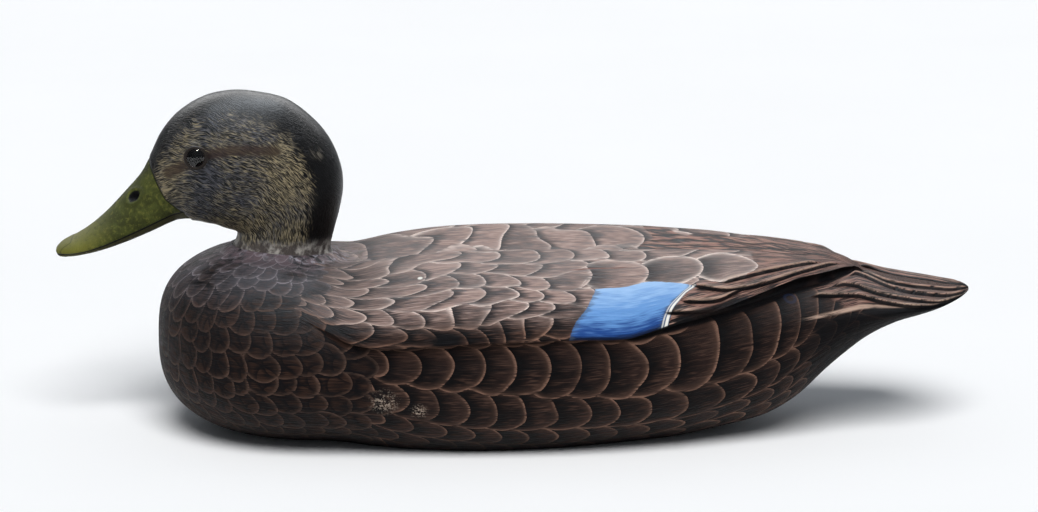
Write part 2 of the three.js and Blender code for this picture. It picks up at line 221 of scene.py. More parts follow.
chestRise = through([(-150, 46.2), (-141, 46.2), (-130, 45.4), (-118, 44.1), (-104, 42.2), (-90, 40.4)])
upperFullness = through([(-172, 2.2), (-90, 2.6), (60, 2.5), (120, 2.3), (160, 2.1), (190, 1.8),
                         (tailX, 1.8)])
lowerFullness = through([(-172, 2.1), (145, 2.1), (180, 1.7), (tailX, 1.7)])
grooveDepth = through([(-92, 0), (-78, 3.5), (-55, 7.5), (-20, 10), (60, 9.5), (100, 8), (130, 5),
                       (155, 2.5), (172, 0.6), (180, 0)])
grooveHalfWidth = through([(-92, 24), (-60, 32), (-20, 34), (40, 34), (90, 27), (120, 19), (145, 12),
                           (170, 6)])
wingEdgeHeight = through([(-100, 70), (-86, 63.5), (-75, 58.8), (-61, 56.8), (-43, 57.4), (-23, 58.8),
                          (0, 59.6), (28, 60.4), (54, 60.2), (62, 61.8), (72, 64.4), (84, 67), (96, 69.2),
                          (110, 72), (135, 76.2), (152, 77.8), (160, 78.6), (168, 78.4)])
wingThickness = through([(-98, 0), (-80, 1), (-40, 1.4), (45, 1.4), (62, 1.8), (80, 2.8), (105, 4.2),
                         (130, 5.2), (148, 4.8), (160, 3.4), (169, 1.6)])

# Lower edges of the carved feathers, as shares of the wing or the tail, each showing from one x to another
wingFeathers = [
    (through([(70, 0.12), (83, 0.06), (91, 0.025), (105, 0.02)]), 70, 98),
    (through([(70, 0.25), (83, 0.155), (98, 0.095), (107, 0.125), (125, 0.11)]), 78, 112),
    (through([(70, 0.42), (88, 0.28), (96, 0.215), (104, 0.16), (120, 0.115), (135, 0.125), (145, 0.18),
              (156, 0.32), (168, 0.4)]), 84, 160),
    (through([(70, 0.5), (88, 0.36), (100, 0.28), (110, 0.285), (117, 0.3), (131, 0.325), (144, 0.385),
              (156, 0.5), (168, 0.58)]), 98, 150),
]
tailFeathers = [
    (through([(146, 0.69), (166, 0.44), (183, 0.29), (204, 0.125), (216, 0.08)]), 142, 214),
    (through([(146, 0.84), (158, 0.76), (171, 0.54), (193, 0.41), (211, 0.18), (tailX, 0.14)]), 153, 220),
    (through([(146, 0.92), (166, 0.9), (183, 0.71), (203, 0.58), (218, 0.417)]), 161, 224),
    (through([(146, 0.97), (171, 0.965), (181, 0.86), (203, 0.85), (tailX, 0.81)]), 168, 230),
]


def frontShare(x):
    return (breastCentreX - x) / (breastCentreX - breastX)


def halfWidth(x):
    front = bodyShape["halfWidth"] * roundOff(frontShare(x), 2.05)
    rear = flankWidth(x) * np.maximum(roundOff((x - tailRoundX) / (tailX - tailRoundX), 1.6), 0.05)
    return np.where(x < breastCentreX, front, np.where(x > tailRoundX, rear, flankWidth(x)))


def keel(x):
    deep = widestHeight - keelLine(breastCentreX)
    return np.where(x < breastCentreX, widestHeight - deep * roundOff(frontShare(x), 2.7), keelLine(x))


def back(x):
    front = widestHeight + chestRise(x) * roundOff(frontShare(x), 3.1)
    return np.where(x < breastCentreX, front, backLine(x))


# The half section at x: the angle runs from -90 degrees under the keel to 90 on top
def sectionPoint(x, angle):
    w = halfWidth(x)
    z0 = widestLine(np.maximum(x, breastCentreX))
    side = np.maximum(np.cos(angle), 0)
    rise = np.abs(np.sin(angle))
    low = 2 / lowerFullness(x)
    up = 2 / upperFullness(x)
    zLow = np.maximum(z0 - (z0 - keel(x)) * rise ** low, 0)
    y = np.where(angle < 0, w * side ** low, w * side ** up)
    valley = grooveDepth(x) * (1 - smoothstep(0, 1, y / grooveHalfWidth(x)))
    return y, np.where(angle < 0, zLow, z0 + (back(x) - z0) * rise ** up - valley)


def edgeAngle(x):
    z0 = widestLine(np.maximum(x, breastCentreX))
    top = np.maximum(back(x) - z0, 1)
    share = np.clip((wingEdgeHeight(x) - z0) / top, 0, 1)
    tipAngle = bodyShape["wingTipAngle"]
    behind = mix(tipAngle, bodyShape["tailTopAngle"], (x - wingTipX) / (tailX - wingTipX))
    return np.where(x > wingTipX, behind, np.minimum(np.arcsin(share ** (upperFullness(x) / 2)), tipAngle))


def flatEdgeRow(x):
    z0 = widestLine(np.maximum(x, breastCentreX))
    low = np.minimum(keel(x), -1e-6)
    row = 1 - np.arcsin(np.clip((z0 / (z0 - low)) ** (lowerFullness(x) / 2), 0, 1)) / (math.pi / 2)
    return np.where(keel(x) >= 0, 0, row)


# Rows of one zone slide on to its feathers' edges where these show: one row below each step and one above it
def zoneRows(x, start, feathers, counts, aligned):
    knots = np.cumsum([0] + counts) / sum(counts)
    lines = [np.zeros_like(x)] + [line(x) for line, first, last in feathers] + [np.ones_like(x)]
    rows = []
    for k, count in enumerate(counts):
        low = mix(knots[k], lines[k], aligned)
        high = mix(knots[k + 1], lines[k + 1], aligned)
        if k > 0:
            rows.append((start + low, False))
            rows.append((start + low + np.minimum(0.006, (high - low) / count / 2), True))
        for i in range(1, count):
            rows.append((start + mix(low, high, i / count), False))
    return rows


def bodyRows(x):
    flatRows, sideRows = bodyShape["bellyRows"]
    flatEdge = np.maximum(flatEdgeRow(x), 0.08)
    rows = [(flatEdge * i / flatRows, False) for i in range(flatRows)]
    rows += [(mix(flatEdge, 1, i / sideRows), False) for i in range(sideRows + 1)]
    onTail = smoothstep(*bodyShape["tailFollow"], x)
    onWing = smoothstep(*bodyShape["wingFollow"], x)
    rows += zoneRows(x, 1, tailFeathers, bodyShape["flankRows"], onTail)
    rows += [(np.full_like(x, 2), False), (np.full_like(x, 2.004), True)]
    rows += zoneRows(x, 2, wingFeathers, bodyShape["wingRows"], onWing)
    rows.append((np.full_like(x, 3), False))
    row = np.concatenate([r for r, above in rows], axis=1)
    above = np.array([flag for r, flag in rows])[None, :]
    return row, above


# How far the overlapping feathers stand out, how deep in the groove under one a point lies (darkened later as
# painted shade), and how near the rubbed edge above lies (painted pale later, as wear and as a painted
# highlight)
def clapboards(x, share, perShare, feathers):
    relief = bodyRelief
    raised = np.zeros_like(share)
    shadedCrevice = np.zeros_like(share)
    ledgeWearAndHighlight = np.zeros_like(share)
    for i, (line, first, last) in enumerate(feathers):
        start = line(x) + 0 * share
        end = feathers[i + 1][0](x) if i + 1 < len(feathers) else start + relief["lastFeather"]
        shows = between(x, first, first + relief["featherGrows"], last - relief["featherFades"], last)
        onIt = share >= start
        standing = relief["featherStep"] * shows * (1 - smoothstep(start, end, share))
        raised = np.where(onIt, standing, raised)
        below = (start - share) * perShare
        shadedCrevice = np.maximum(shadedCrevice, np.where(onIt, 0, shows * bell(below, relief["creviceWidth"])))
        ledgeWearAndHighlight = np.maximum(ledgeWearAndHighlight, np.where(onIt, shows * bell(below, relief["ledgeWidth"]), 0))
    return raised, shadedCrevice, ledgeWearAndHighlight


# Places along X, closer together towards the breast and the tip of the tail
def bodyStations():
    front, middle, rear = bodyShape["stations"]
    tailStart = wingTipX + 5
    breast = breastCentreX - (breastCentreX - breastX) * np.cos(np.linspace(0, math.pi / 2, front))
    flank = np.linspace(breastCentreX, tailStart, middle + 1)[1:]
    tail = mix(tailStart, tailX, np.sin(np.linspace(0, math.pi / 2, rear + 1)[1:]))
    return np.concatenate([breast, flank, tail])[:, None]


# Rows 0 to 1 run from the keel to the widest line, 1 to 2 up the flank, and 2 to 3 over the wing
def rowAngle(x, row):
    edge = edgeAngle(x)
    wing = edge + (row - 2) * (math.pi / 2 - edge)
    return np.where(row <= 1, (row - 1) * (math.pi / 2), np.where(row <= 2, (row - 1) * edge, wing))


# The way out of the section, from a point a little before and one a little after
def sectionNormal(x, angle):
    small = 0.02
    yBefore, zBefore = sectionPoint(x, np.maximum(angle - small, -math.pi / 2))
    yAfter, zAfter = sectionPoint(x, np.minimum(angle + small, math.pi / 2))
    run = np.maximum(np.hypot(yAfter - yBefore, zAfter - zBefore), 1e-6)
    return (zAfter - zBefore) / run, (yBefore - yAfter) / run


# How far each point stands out of the section, how much painted shade it gets in a groove, under the wing or
# on the wing's edge wall, and how near a rubbed and highlighted edge it is
def bodyCarving(x, row, above, across, perShare, wingShare, flankShare):
    relief = bodyRelief
    onWing = (row > 2) | ((row == 2) & above)
    onFlank = (row > 1) & ~onWing
    end = relief["wingEnd"]
    growing = wingThickness(x) * (1 - smoothstep(wingTipX - end, wingTipX + end, x))
    whole = smoothstep(*relief["wingStandsOut"], x)
    spread = mix(1 - smoothstep(*relief["wingThins"], wingShare), 1, whole)
    raisedWing, creviceWing, ledgeWing = clapboards(x, wingShare, perShare, wingFeathers)
    raisedTail, creviceTail, ledgeTail = clapboards(x, flankShare, perShare, tailFeathers)
    dip = relief["flankDip"] * bell(1 - flankShare, relief["flankDipShare"])
    dip = dip * between(x, *relief["flankDipRange"])
    narrow = np.clip(halfWidth(x) / relief["thinTail"], 0, 1)
    shadedCrevice = np.where(onWing, creviceWing, np.where(onFlank, creviceTail, 0)) * narrow
    ledgeWearAndHighlight = np.where(onWing, ledgeWing, np.where(onFlank, ledgeTail, 0)) * narrow
    out = np.where(onWing, growing * spread + raisedWing, np.where(onFlank, raisedTail - dip, 0))
    out = (out - relief["creviceDepth"] * shadedCrevice * narrow) * narrow

    # Under the wing's edge the flank is cut in a little, and the paint darkens it there as painted shade
    under = relief["underWing"]
    reach = bell(across, under["width"] + growing * under["perThickness"])
    underWing = np.where(onFlank, reach * smoothstep(*under["from"], x), 0)
    out = out - under["depth"] * underWing * (1 - smoothstep(wingTipX - under["fade"], wingTipX, x))
    # Painted shade on the wing's edge wall, on a strip low on the wing and in a pocket at its front
    onWall = (row >= 2) & (row < 2.005)
    wall = np.where(onWall, np.where(above, relief["wallShade"], 1), 0) * smoothstep(*relief["wallFrom"], x)
    strip = (1 - smoothstep(*relief["stripShares"], wingShare)) * between(x, *relief["stripRange"])
    strip = strip * relief["stripShade"]
    pocket = relief["pocket"]
    shade = pocket["shade"] * bell(x - pocket["x"], pocket["length"])
    shade = shade * bell(wingShare - pocket["share"], pocket["height"])
    shadedCrevice = np.maximum(np.maximum(shadedCrevice, underWing), np.maximum(wall, onWing * (strip + shade)))
    return out, shadedCrevice, ledgeWearAndHighlight


# The flat that the head stands on, with a small fillet round it
def cutSeat(x, row, y, z):
    seat = bodyShape["seat"]
    reach = np.hypot((x - seat["x"]) / seat["halfLength"], y / seat["halfWidth"])
    plane = seat["height"] - seat["slope"] * (x - seat["x"])
    level = np.minimum(z, plane + np.maximum(reach - seat["flatShare"], 0) * seat["ramp"])
    fillet = seat["fillet"] * between(reach, *seat["filletShares"])
    onSeat = 1 - smoothstep(seat["flatShare"], seat["fadeShare"], reach)
    return np.where(row > 2, mix(z, level, onSeat) + fillet, z)


def bodySurface():
    x = bodyStations()
    row, above = bodyRows(x)
    angle = rowAngle(x, row)
    y, z = sectionPoint(x, angle)
    stretch = np.hypot(np.diff(y, axis=1), np.diff(z, axis=1))
    girth = np.concatenate([np.zeros_like(x), np.cumsum(stretch, axis=1)], axis=1)
    edgeColumn = int(np.argmax((row[0] >= 2) & ~above[0]))
    across = girth - girth[:, edgeColumn:edgeColumn + 1]
    perShare = np.maximum(np.gradient(girth, axis=1) / np.maximum(np.gradient(row, axis=1), 1e-6), 1)
    nudge = np.where(above, 1e-4, -1e-4)
    wingShare = row - 2 + nudge
    flankShare = row - 1 + nudge
    out, shadedCrevice, ledgeWearAndHighlight = bodyCarving(x, row, above, across, perShare, wingShare, flankShare)
    normalY, normalZ = sectionNormal(x, angle)
    y = y + normalY * out
    z = cutSeat(x, row, y, z + normalZ * out)
    z = np.where(row <= 1, np.maximum(z, 0), z)
    attributes = paintPlaces(x, row, y, z, across, wingShare, perShare)
    # Where the paint darkens as painted shade, and where rubbed edges are painted pale as wear and as a
    # painted highlight
    attributes["shadedCrevice"] = shadedCrevice
    attributes["ledgeWearAndHighlight"] = ledgeWearAndHighlight

    # The right side mirrors the left, and the last ring closes on the tail's tip
    x = x + 0 * y
    left = np.stack([x, -y, z], axis=-1)
    right = np.stack([x, y, z], axis=-1)[:, -2::-1]
    points = np.concatenate([left, right], axis=1)
    tip = np.broadcast_to(np.array([tailX, 0, bodyShape["tipHeight"]]), points[:1].shape)
    points = np.concatenate([points, tip], axis=0)
    both = {}
    for label, values in attributes.items():
        values = np.broadcast_to(values, (x.shape[0], row.shape[1]) + values.shape[2:])
        values = np.concatenate([values, values[:, -2::-1]], axis=1)
        both[label] = np.concatenate([values, values[-1:]], axis=0)
    return points, both


# Where each painted pattern lies on the body, as smooth fields in millimetres or in rows of feathers
paintLayout = {
    "flankTips": [(-72, -1), (2.3, 4), (63, 8), (114.6, 11), (147, 14), (170, 17)],
    "flankLength": 15.2,
    "flankRows": [
        [(-78, 9.5), (-43, 18), (-6, 24), (65, 30), (89, 34), (127, 33), (150, 26)],
        [(-78, 22), (-53, 34), (-6, 46), (65, 50), (89, 52), (127, 47), (150, 38)],
        [(-78, 35), (-43, 50), (0, 62), (65, 65), (127, 58), (150, 48)],
    ],
    "lastRow": 13,
    "wingRows": [0, 0.15, 0.275, 0.395, 0.525, 0.655, 0.82, 1],
    "breastTurn": [(-220, 0), (-170, 15), (-140, 32), (-115, 52), (-90, 75), (-70, 88)],
    "breastHeart": {"x": -95, "z": 45, "round": 83, "climb": 80},
    "breastEnd": {"onWing": -101, "onFlank": -66},
    "specFront": [(0, 26.6), (0.02, 27.1), (0.117, 29.9), (0.217, 35.1), (0.35, 39), (0.4, 40)],
    "specRear": [(0, 73.4), (0.083, 74.9), (0.154, 77.6), (0.221, 81.8), (0.288, 87.2)],
    "specTop": [(40, 0.37), (51, 0.378), (64, 0.4), (78, 0.35), (87, 0.29)],
    "tertialLow": [(40, 0.36), (65, 0.36), (92, 0.33), (114, 0.26), (120, 0.24)],
    "tertialHigh": [(40, 0.64), (65, 0.64), (92, 0.68), (108, 0.66), (120, 0.6)],
    "tertialTip": 112.6,
}


def paintPlaces(x, row, y, z, across, share, perShare):
    layout = paintLayout
    depth = -across
    edges = [0 * x] + [through(line)(x) for line in layout["flankRows"]]
    edges += [edges[-1] + layout["lastRow"], edges[-1] + 3 * layout["lastRow"]]
    flankBand = np.zeros_like(depth)
    for k in range(len(edges) - 1):
        flankBand = flankBand + np.clip((depth - edges[k]) / (edges[k + 1] - edges[k]), 0 if k else -1, 1)
    flankAlong = through(layout["flankTips"])(x) * layout["flankLength"]
    wingRows = layout["wingRows"]
    rows = np.interp(share, wingRows, np.arange(len(wingRows)))
    wingBand = len(wingRows) - 1 - rows + 0.22 * np.sin(x / 11 + 7 * share)
    wingAlong = x + 12 * smoothstep(-20, -90, x) + 4 * np.sin(x / 19 + 15 * share)

    # The breast is unrolled round a point deep inside it
    heart = layout["breastHeart"]
    ahead = np.maximum(heart["x"] - x, 0)
    turned = np.arctan2(ahead, np.maximum(y, 1e-3))
    far = np.where(x < heart["x"], np.hypot(ahead, y), y)
    unrolled = np.where(x < heart["x"], heart["x"] - heart["round"] * turned, x)
    climb = heart["climb"] * np.arctan2(z - heart["z"], np.maximum(far, 1e-3))
    turn = np.radians(through(layout["breastTurn"])(unrolled))
    end = layout["breastEnd"]
    limit = np.where(across > 0, end["onWing"] + 8 * np.sin(z / 6), end["onFlank"]) + 0 * y

    front = through(layout["specFront"])(share)
    rear = through(layout["specRear"])(share)
    top = through(layout["specTop"])(x)
    high = through(layout["tertialHigh"])(x)
    tall = high - through(layout["tertialLow"])(x)
    inward = (1 - share) * perShare
    blank = 0 * y
    return {
        "across": across,
        "row": row,
        "flank": np.stack([flankAlong + blank, flankBand, blank], -1),
        "wing": np.stack([wingAlong + blank, wingBand, share + blank], -1),
        "breast": np.stack([unrolled + blank, climb, limit], -1),
        "flow": np.stack([np.sin(turn) + blank, -np.cos(turn) + blank, blank], -1),
        "speculum": np.stack([x - front, rear - x, (top - share) * perShare], -1),
        "tertial": np.stack([x - layout["tertialTip"] + blank, (high - share) / tall, inward + blank], -1),
    }


# The head: a loft whose sections turn like the leaves of a fan, from the neck's foot round the crown to the
# bill. outer follows nape, crown, forehead and the bill's ridge; inner follows throat, chin and underside.

headShape = {
    "stations": 372,
    "around": 200,
    "sections": [  # outer x, z; inner x, z; half width, its share of the way, fullness outward and inward
        (-86.9, 85.7, -137.2, 88.7, 24.2, 0.5, 2, 2),
        (-88.5, 89.4, -135.6, 91.2, 22.9, 0.5, 2, 2),
        (-86.4, 98.4, -134.4, 94, 22.8, 0.5, 2, 2),
        (-83.9, 107.6, -134, 95.8, 23.6, 0.5, 2, 2),
        (-82.1, 118.4, -134.4, 97, 24.6, 0.48, 2, 2),
        (-83, 128.8, -136, 97.8, 25.4, 0.47, 2, 2.1),
        (-87.6, 140.8, -138.2, 98.4, 26, 0.46, 2, 2.2),
        (-95.6, 151.4, -141, 99.2, 26.2, 0.45, 2, 2.2),
        (-108.6, 161.4, -144.2, 100.4, 26.2, 0.44, 2, 2.2),
        (-123, 165.2, -148, 101, 26, 0.44, 2, 2.2),
        (-136.6, 166, -151.4, 101.8, 25.2, 0.44, 2, 2.2),
        (-149.8, 163, -154.6, 102.2, 23.6, 0.43, 2, 2.2),
        (-161.8, 155.6, -157.8, 102.2, 21, 0.42, 2, 2.1),
        (-170, 146, -160.4, 101.9, 17.6, 0.4, 2, 2),
        (-175.4, 135.2, -163, 101.4, 14.4, 0.38, 2, 2),
        (-180.4, 125.8, -167, 99.8, 12.6, 0.36, 1.9, 2.2),
        (-188.4, 116.6, -176.6, 95.4, 11.6, 0.34, 1.8, 2.4),
        (-197, 107.4, -187.2, 91, 11.8, 0.34, 1.9, 2.4),
        (-205.8, 99.8, -198, 87.3, 13, 0.36, 2.1, 2.4),
        (-213.4, 94.9, -207.6, 84.9, 13.4, 0.4, 2.2, 2.2),
        (-218.8, 91.9, -214.8, 83.6, 11.4, 0.45, 2.2, 2),
        (-221.6, 89.4, -219.6, 83.9, 7.6, 0.5, 2, 2),
        (-222.3, 87.6, -221.7, 85.4, 2.6, 0.5, 2, 2),
    ],
    "billBase": [(-178.4, 138.5), (-175.4, 130.3), (-171.4, 121.8), (-167.5, 114.8), (-159.4, 108.4),
                 (-156, 104)],
    "mouth": [(-158.6, 108.2), (-166, 105.2), (-176, 100.4), (-186.5, 95.6), (-197, 91.2), (-206, 88.2),
              (-214, 86.6), (-222, 86.2)],
    "cap": [(-176.5, 125.8), (-171.8, 132.8), (-162.4, 146.9), (-153.6, 154.7), (-143.1, 158.6),
            (-128.3, 156.6), (-115.4, 151.8), (-105.9, 145), (-100.3, 134.7), (-95.7, 124), (-96.2, 114.7),
            (-98.7, 103.9), (-99.8, 95.1), (-99.8, 80)],
    "stripe": [(-165.9, 128.3), (-160, 131.5), (-155.7, 134), (-146, 138.5), (-136, 140.6), (-125, 140.8),
               (-113.5, 140)],
    "jaw": [(-160, 106), (-134, 97), (-137, 80)],
    "eye": {"x": -151.7, "z": 136.8, "radius": 5, "cheek": 22.82, "depth": 3.6, "pad": 1.6,
            "padSunk": 0.45, "padFlat": 0.8, "glassOverlap": 0.25, "socketGap": 0.4},
    "nostril": {"x": -183.3, "z": 115.3, "long": 3.3, "high": 2.1, "pitch": 0.7, "depth": 2.2, "rim": 0.45},
    "nail": {"x": -215.5, "z": 88, "slope": 0.25, "halfWidth": 9.5, "raised": 0.3},
    "grooves": {"bill": 0.25, "billSeam": 0.3, "mouth": 0.55, "lowerBill": 0.5},
    "skin": 0.12,  # the carving lies this far inside the solid
    "ridge": 3,
    "cheek": 15,
    "reliefStarts": (0, 1),  # in sections
    "reliefEnds": (20.5, 21.5),
    "lostAtEnd": 0.8,
    "billTip": 86.6,
}


# A smooth curve through a list of numbers at whole steps
def along(values, s):
    values = np.asarray(values, float)
    i = np.clip(np.floor(s).astype(int), 0, len(values) - 2)
    t = s - i
    a, b, c, d = (values[np.clip(i + k, 0, len(values) - 1)] for k in (-1, 0, 1, 2))
    return b + 0.5 * t * (c - a + t * (2 * a - 5 * b + 4 * c - d + t * (3 * (b - c) + d - a)))


# Distances that place the bill's parts: from the nostril in its own radii, and 1 on the raised nail
def billPlaces(x, y, z):
    nostril = headShape["nostril"]
    fromX, fromZ = x - nostril["x"], z - nostril["z"]
    c, s = math.cos(nostril["pitch"]), math.sin(nostril["pitch"])
    hole = np.hypot((fromX * c + fromZ * s) / nostril["long"], (fromZ * c - fromX * s) / nostril["high"])
    nail = headShape["nail"]
    behind = x - nail["slope"] * (z - nail["z"])
    onNail = smoothstep(nail["x"] + 1, nail["x"] - 1, behind)
    return hole, onNail * smoothstep(nail["halfWidth"] + 1, nail["halfWidth"] - 1, np.abs(y))


# A level pad round each eye, and the socket that its glass sits in
def cutSockets(points, eyeGap, cheeks):
    eye = headShape["eye"]
    wide = np.abs(points[..., 1])
    level = eye["cheek"] - eye["padSunk"]
    pad = (level - wide) * bell(np.maximum(eyeGap - eye["radius"] - eye["padFlat"], 0), eye["pad"])
    points[..., 1] += np.where(cheeks, np.sign(points[..., 1]) * pad, 0)
    socket = (eyeGap < eye["radius"] - eye["glassOverlap"]) & cheeks
    floor = np.minimum(np.abs(points[..., 1]), eye["cheek"] - eye["depth"] - eye["socketGap"])
    points[..., 1] = np.where(socket, np.sign(points[..., 1]) * floor, points[..., 1])


def headSurface():
    sections = headShape["sections"]
    s = np.linspace(0, len(sections) - 1, headShape["stations"])[:, None]
    columns = [along(column, s) for column in zip(*sections)]
    outerX, outerZ, innerX, innerZ, wide, at, outward, inward = columns
    a = np.linspace(0, 2 * math.pi, headShape["around"] + 1)[None, :]
    power = 2 / np.where(np.cos(a) > 0, outward, inward)
    up = np.sign(np.cos(a)) * np.abs(np.cos(a)) ** power
    share = at + up * np.where(up > 0, 1 - at, at)
    y = np.sign(np.sin(a)) * wide * np.abs(np.sin(a)) ** power
    y[:, -1] = y[:, 0]
    x = mix(innerX, outerX, share)
    z = mix(innerZ, outerZ, share)

    points = np.stack([x, y, z], -1)
    du = np.gradient(points, axis=0)
    dv = np.roll(points[:, :-1], -1, axis=1) - np.roll(points[:, :-1], 1, axis=1)
    dv = np.concatenate([dv, dv[:, :1]], axis=1)
    normal = np.cross(dv, du)
    normal /= np.maximum(np.linalg.norm(normal, axis=-1, keepdims=True), 1e-9)

    gap, side = distanceToLine(x, z, headShape["billBase"])
    bill = np.where(side > 0, -gap, gap)  # positive on the bill
    onBill = smoothstep(-0.4, 0.6, bill)
    mouthGap, mouthSide = distanceToLine(x, z, headShape["mouth"])
    mouth = bell(mouthGap, 0.7) * smoothstep(-1, 1, bill + 1.5)
    lowerBill = np.where(mouthSide > 0, smoothstep(0, 1, mouthGap), 0) * onBill
    hole, nail = billPlaces(x, y, z)
    ridge = np.abs(y) < headShape["ridge"]
    nostril = headShape["nostril"]
    grooves = headShape["grooves"]
    out = -headShape["skin"] - grooves["bill"] * onBill - grooves["billSeam"] * bell(bill, 0.7)
    out = out - grooves["mouth"] * mouth - grooves["lowerBill"] * lowerBill
    out = out - np.where(ridge, 0, nostril["depth"] * (1 - smoothstep(0.35, 1.05, hole)))
    out = out + np.where(ridge, 0, nostril["rim"] * bell(hole - 1.4, 0.3))
    out = out + headShape["nail"]["raised"] * nail * onBill
    out = out * smoothstep(*headShape["reliefStarts"], s)
    out = out * (1 - smoothstep(*headShape["reliefEnds"], s) * headShape["lostAtEnd"])
    points = points + normal * out[..., None]
    eye = headShape["eye"]
    cutSockets(points, np.hypot(x - eye["x"], z - eye["z"]), np.abs(y) > headShape["cheek"])

    capGap, capSide = distanceToLine(x, z, headShape["cap"])
    attributes = {
        "bill": bill,
        "mouth": np.stack([mouthGap, lowerBill, mouth], -1),
        "cap": np.where(capSide > 0, -capGap, capGap),
        "stripe": distanceToLine(x, z, headShape["stripe"])[0],
        "stroke": distanceToLine(x, z, headShape["jaw"])[0],
        "hole": hole,
        "nail": nail * onBill,
    }
    foot = points[0, :-1].mean(axis=0)
    tip = np.array([headLow.x / mm, 0, headShape["billTip"]])
    ends = [np.broadcast_to(end, points[:1].shape) for end in (foot, tip)]
    points = np.concatenate([ends[0], points, ends[1]], axis=0)
    for label, values in attributes.items():
        attributes[label] = np.concatenate([values[:1], values, values[-1:]], axis=0)
    return points, attributes


# Shader boards: a wire carries a value, and sums and products of wires make Math nodes

class Wire:
    def __init__(self, board, socket):
        self.board = board
        self.socket = socket

    def __add__(self, other):
        return self.board.calc("ADD", self, other)

    def __radd__(self, other):
        return self.board.calc("ADD", other, self)

    def __sub__(self, other):
        return self.board.calc("SUBTRACT", self, other)

    def __rsub__(self, other):
        return self.board.calc("SUBTRACT", other, self)

    def __mul__(self, other):
        return self.board.calc("MULTIPLY", self, other)

    def __rmul__(self, other):
        return self.board.calc("MULTIPLY", other, self)

    def __truediv__(self, other):
        return self.board.calc("DIVIDE", self, other)


class Board:
    def __init__(self, tree):
        self.tree = tree
        self.count = 0

    def node(self, kind, inputs=None, **settings):
        made = self.tree.nodes.new("ShaderNode" + kind)
        made.location = (self.count % 14 * 190, -(self.count // 14) * 240)
        self.count += 1
        for key, value in settings.items():
            setattr(made, key, value)
        for key, value in (inputs or {}).items():
            self.feed(made.inputs[key], value)
        return made

    def feed(self, socket, value):
        if isinstance(value, Wire):
            self.tree.links.new(value.socket, socket)
        else:
            socket.default_value = value

    def wire(self, node, output=0):
        return Wire(self, node.outputs[output])

    def calc(self, operation, *values):
        return self.wire(self.node("Math", dict(enumerate(values)), operation=operation))

    def least(self, a, b):
        return self.calc("MINIMUM", a, b)

    def most(self, a, b):
        return self.calc("MAXIMUM", a, b)

    def vector(self, operation, *values):
        made = self.node("VectorMath", dict(enumerate(values)), operation=operation)
        return self.wire(made, "Value" if operation in ("DOT_PRODUCT", "LENGTH", "DISTANCE") else "Vector")

    def scaled(self, place, factor):
        return self.wire(self.node("VectorMath", {"Vector": place, "Scale": factor}, operation="SCALE"))

    def combine(self, x=0.0, y=0.0, z=0.0):
        return self.wire(self.node("CombineXYZ", {"X": x, "Y": y, "Z": z}))

    def split(self, vector):
        made = self.node("SeparateXYZ", {"Vector": vector})
        return [self.wire(made, axis) for axis in "XYZ"]

    # 0 below low, 1 above high, smooth between
    def rise(self, value, low, high, start=0.0, end=1.0):
        inputs = {"Value": value, "From Min": low, "From Max": high, "To Min": start, "To Max": end}
        return self.wire(self.node("MapRange", inputs, interpolation_type="SMOOTHSTEP"))

    def fall(self, value, low, high):
        return self.rise(value, low, high, 1.0, 0.0)

    # 1 within near of the middle, 0 beyond far
    def band(self, value, near, far):
        return self.fall(self.calc("ABSOLUTE", value), near, far)

    def noise(self, place, scale, detail=2.0, roughness=0.5, w=None, output="Fac"):
        inputs = {"Vector": place, "Scale": scale, "Detail": detail, "Roughness": roughness}
        if w is not None:
            inputs["W"] = w
        made = self.node("TexNoise", noise_dimensions="3D" if w is None else "4D")
        for key, value in inputs.items():
            self.feed(made.inputs[key], value)
        return self.wire(made, output)

    def white(self, place, output="Value"):
        return self.wire(self.node("TexWhiteNoise", {"Vector": place}, noise_dimensions="3D"), output)

    # Short dashes scattered in a stretched space: 1 on a dash
    def dashes(self, place, low, high):
        inputs = {"Vector": place, "Scale": 1.0}
        made = self.node("TexVoronoi", inputs, voronoi_dimensions="3D", feature="F1")
        return self.fall(self.wire(made, "Distance"), low, high)

    def pick(self, factor, a, b):
        return self.wire(self.node("Mix", {0: factor, 2: a, 3: b}, data_type="FLOAT"), 0)

    def pickVector(self, factor, a, b):
        return self.wire(self.node("Mix", {0: factor, 4: a, 5: b}, data_type="VECTOR"), 1)

    def blend(self, factor, a, b):
        made = self.node("Mix", data_type="RGBA")
        for key, value in {0: factor, 6: a, 7: b}.items():
            self.feed(made.inputs[key], value)
        return self.wire(made, 2)

    def attribute(self, name, output="Fac"):
        return self.wire(self.node("Attribute", attribute_name=name), output)

    def place(self):
        return self.scaled(self.wire(self.node("TexCoord"), "Object"), 1 / mm)

    # Relief on a shader, its depth in metres
    def relief(self, shader, height, depth):
        bump = self.node("Bump", {"Height": height, "Strength": 1.0, "Distance": depth})
        self.feed(shader.inputs["Normal"], self.wire(bump))

    def use(self, group, **given):
        made = self.node("Group", node_tree=group)
        for key, value in given.items():
            self.feed(made.inputs[key], value)
        return lambda output: self.wire(made, output)


def colour(code):
    parts = [int(code[i:i + 2], 16) / 255 for i in (1, 3, 5)]
    return (*[p / 12.92 if p <= 0.04045 else ((p + 0.055) / 1.055) ** 2.4 for p in parts], 1)


# A node group: each input is a number for its value, or else Vector or Color for its kind
def shaderGroup(name, inputs, outputs):
    tree = bpy.data.node_groups.new(name, "ShaderNodeTree")
    for label, value in inputs.items():
        kind = value if isinstance(value, str) else "Float"
        socket = tree.interface.new_socket(name=label, in_out="INPUT", socket_type="NodeSocket" + kind)
        if kind == "Float":
            socket.default_value = value
    for label, kind in outputs.items():
        tree.interface.new_socket(name=label, in_out="OUTPUT", socket_type="NodeSocket" + kind)
    board = Board(tree)
    source = tree.nodes.new("NodeGroupInput")
    sink = tree.nodes.new("NodeGroupOutput")
    given = {label: Wire(board, source.outputs[label]) for label in inputs}
    return board, given, sink


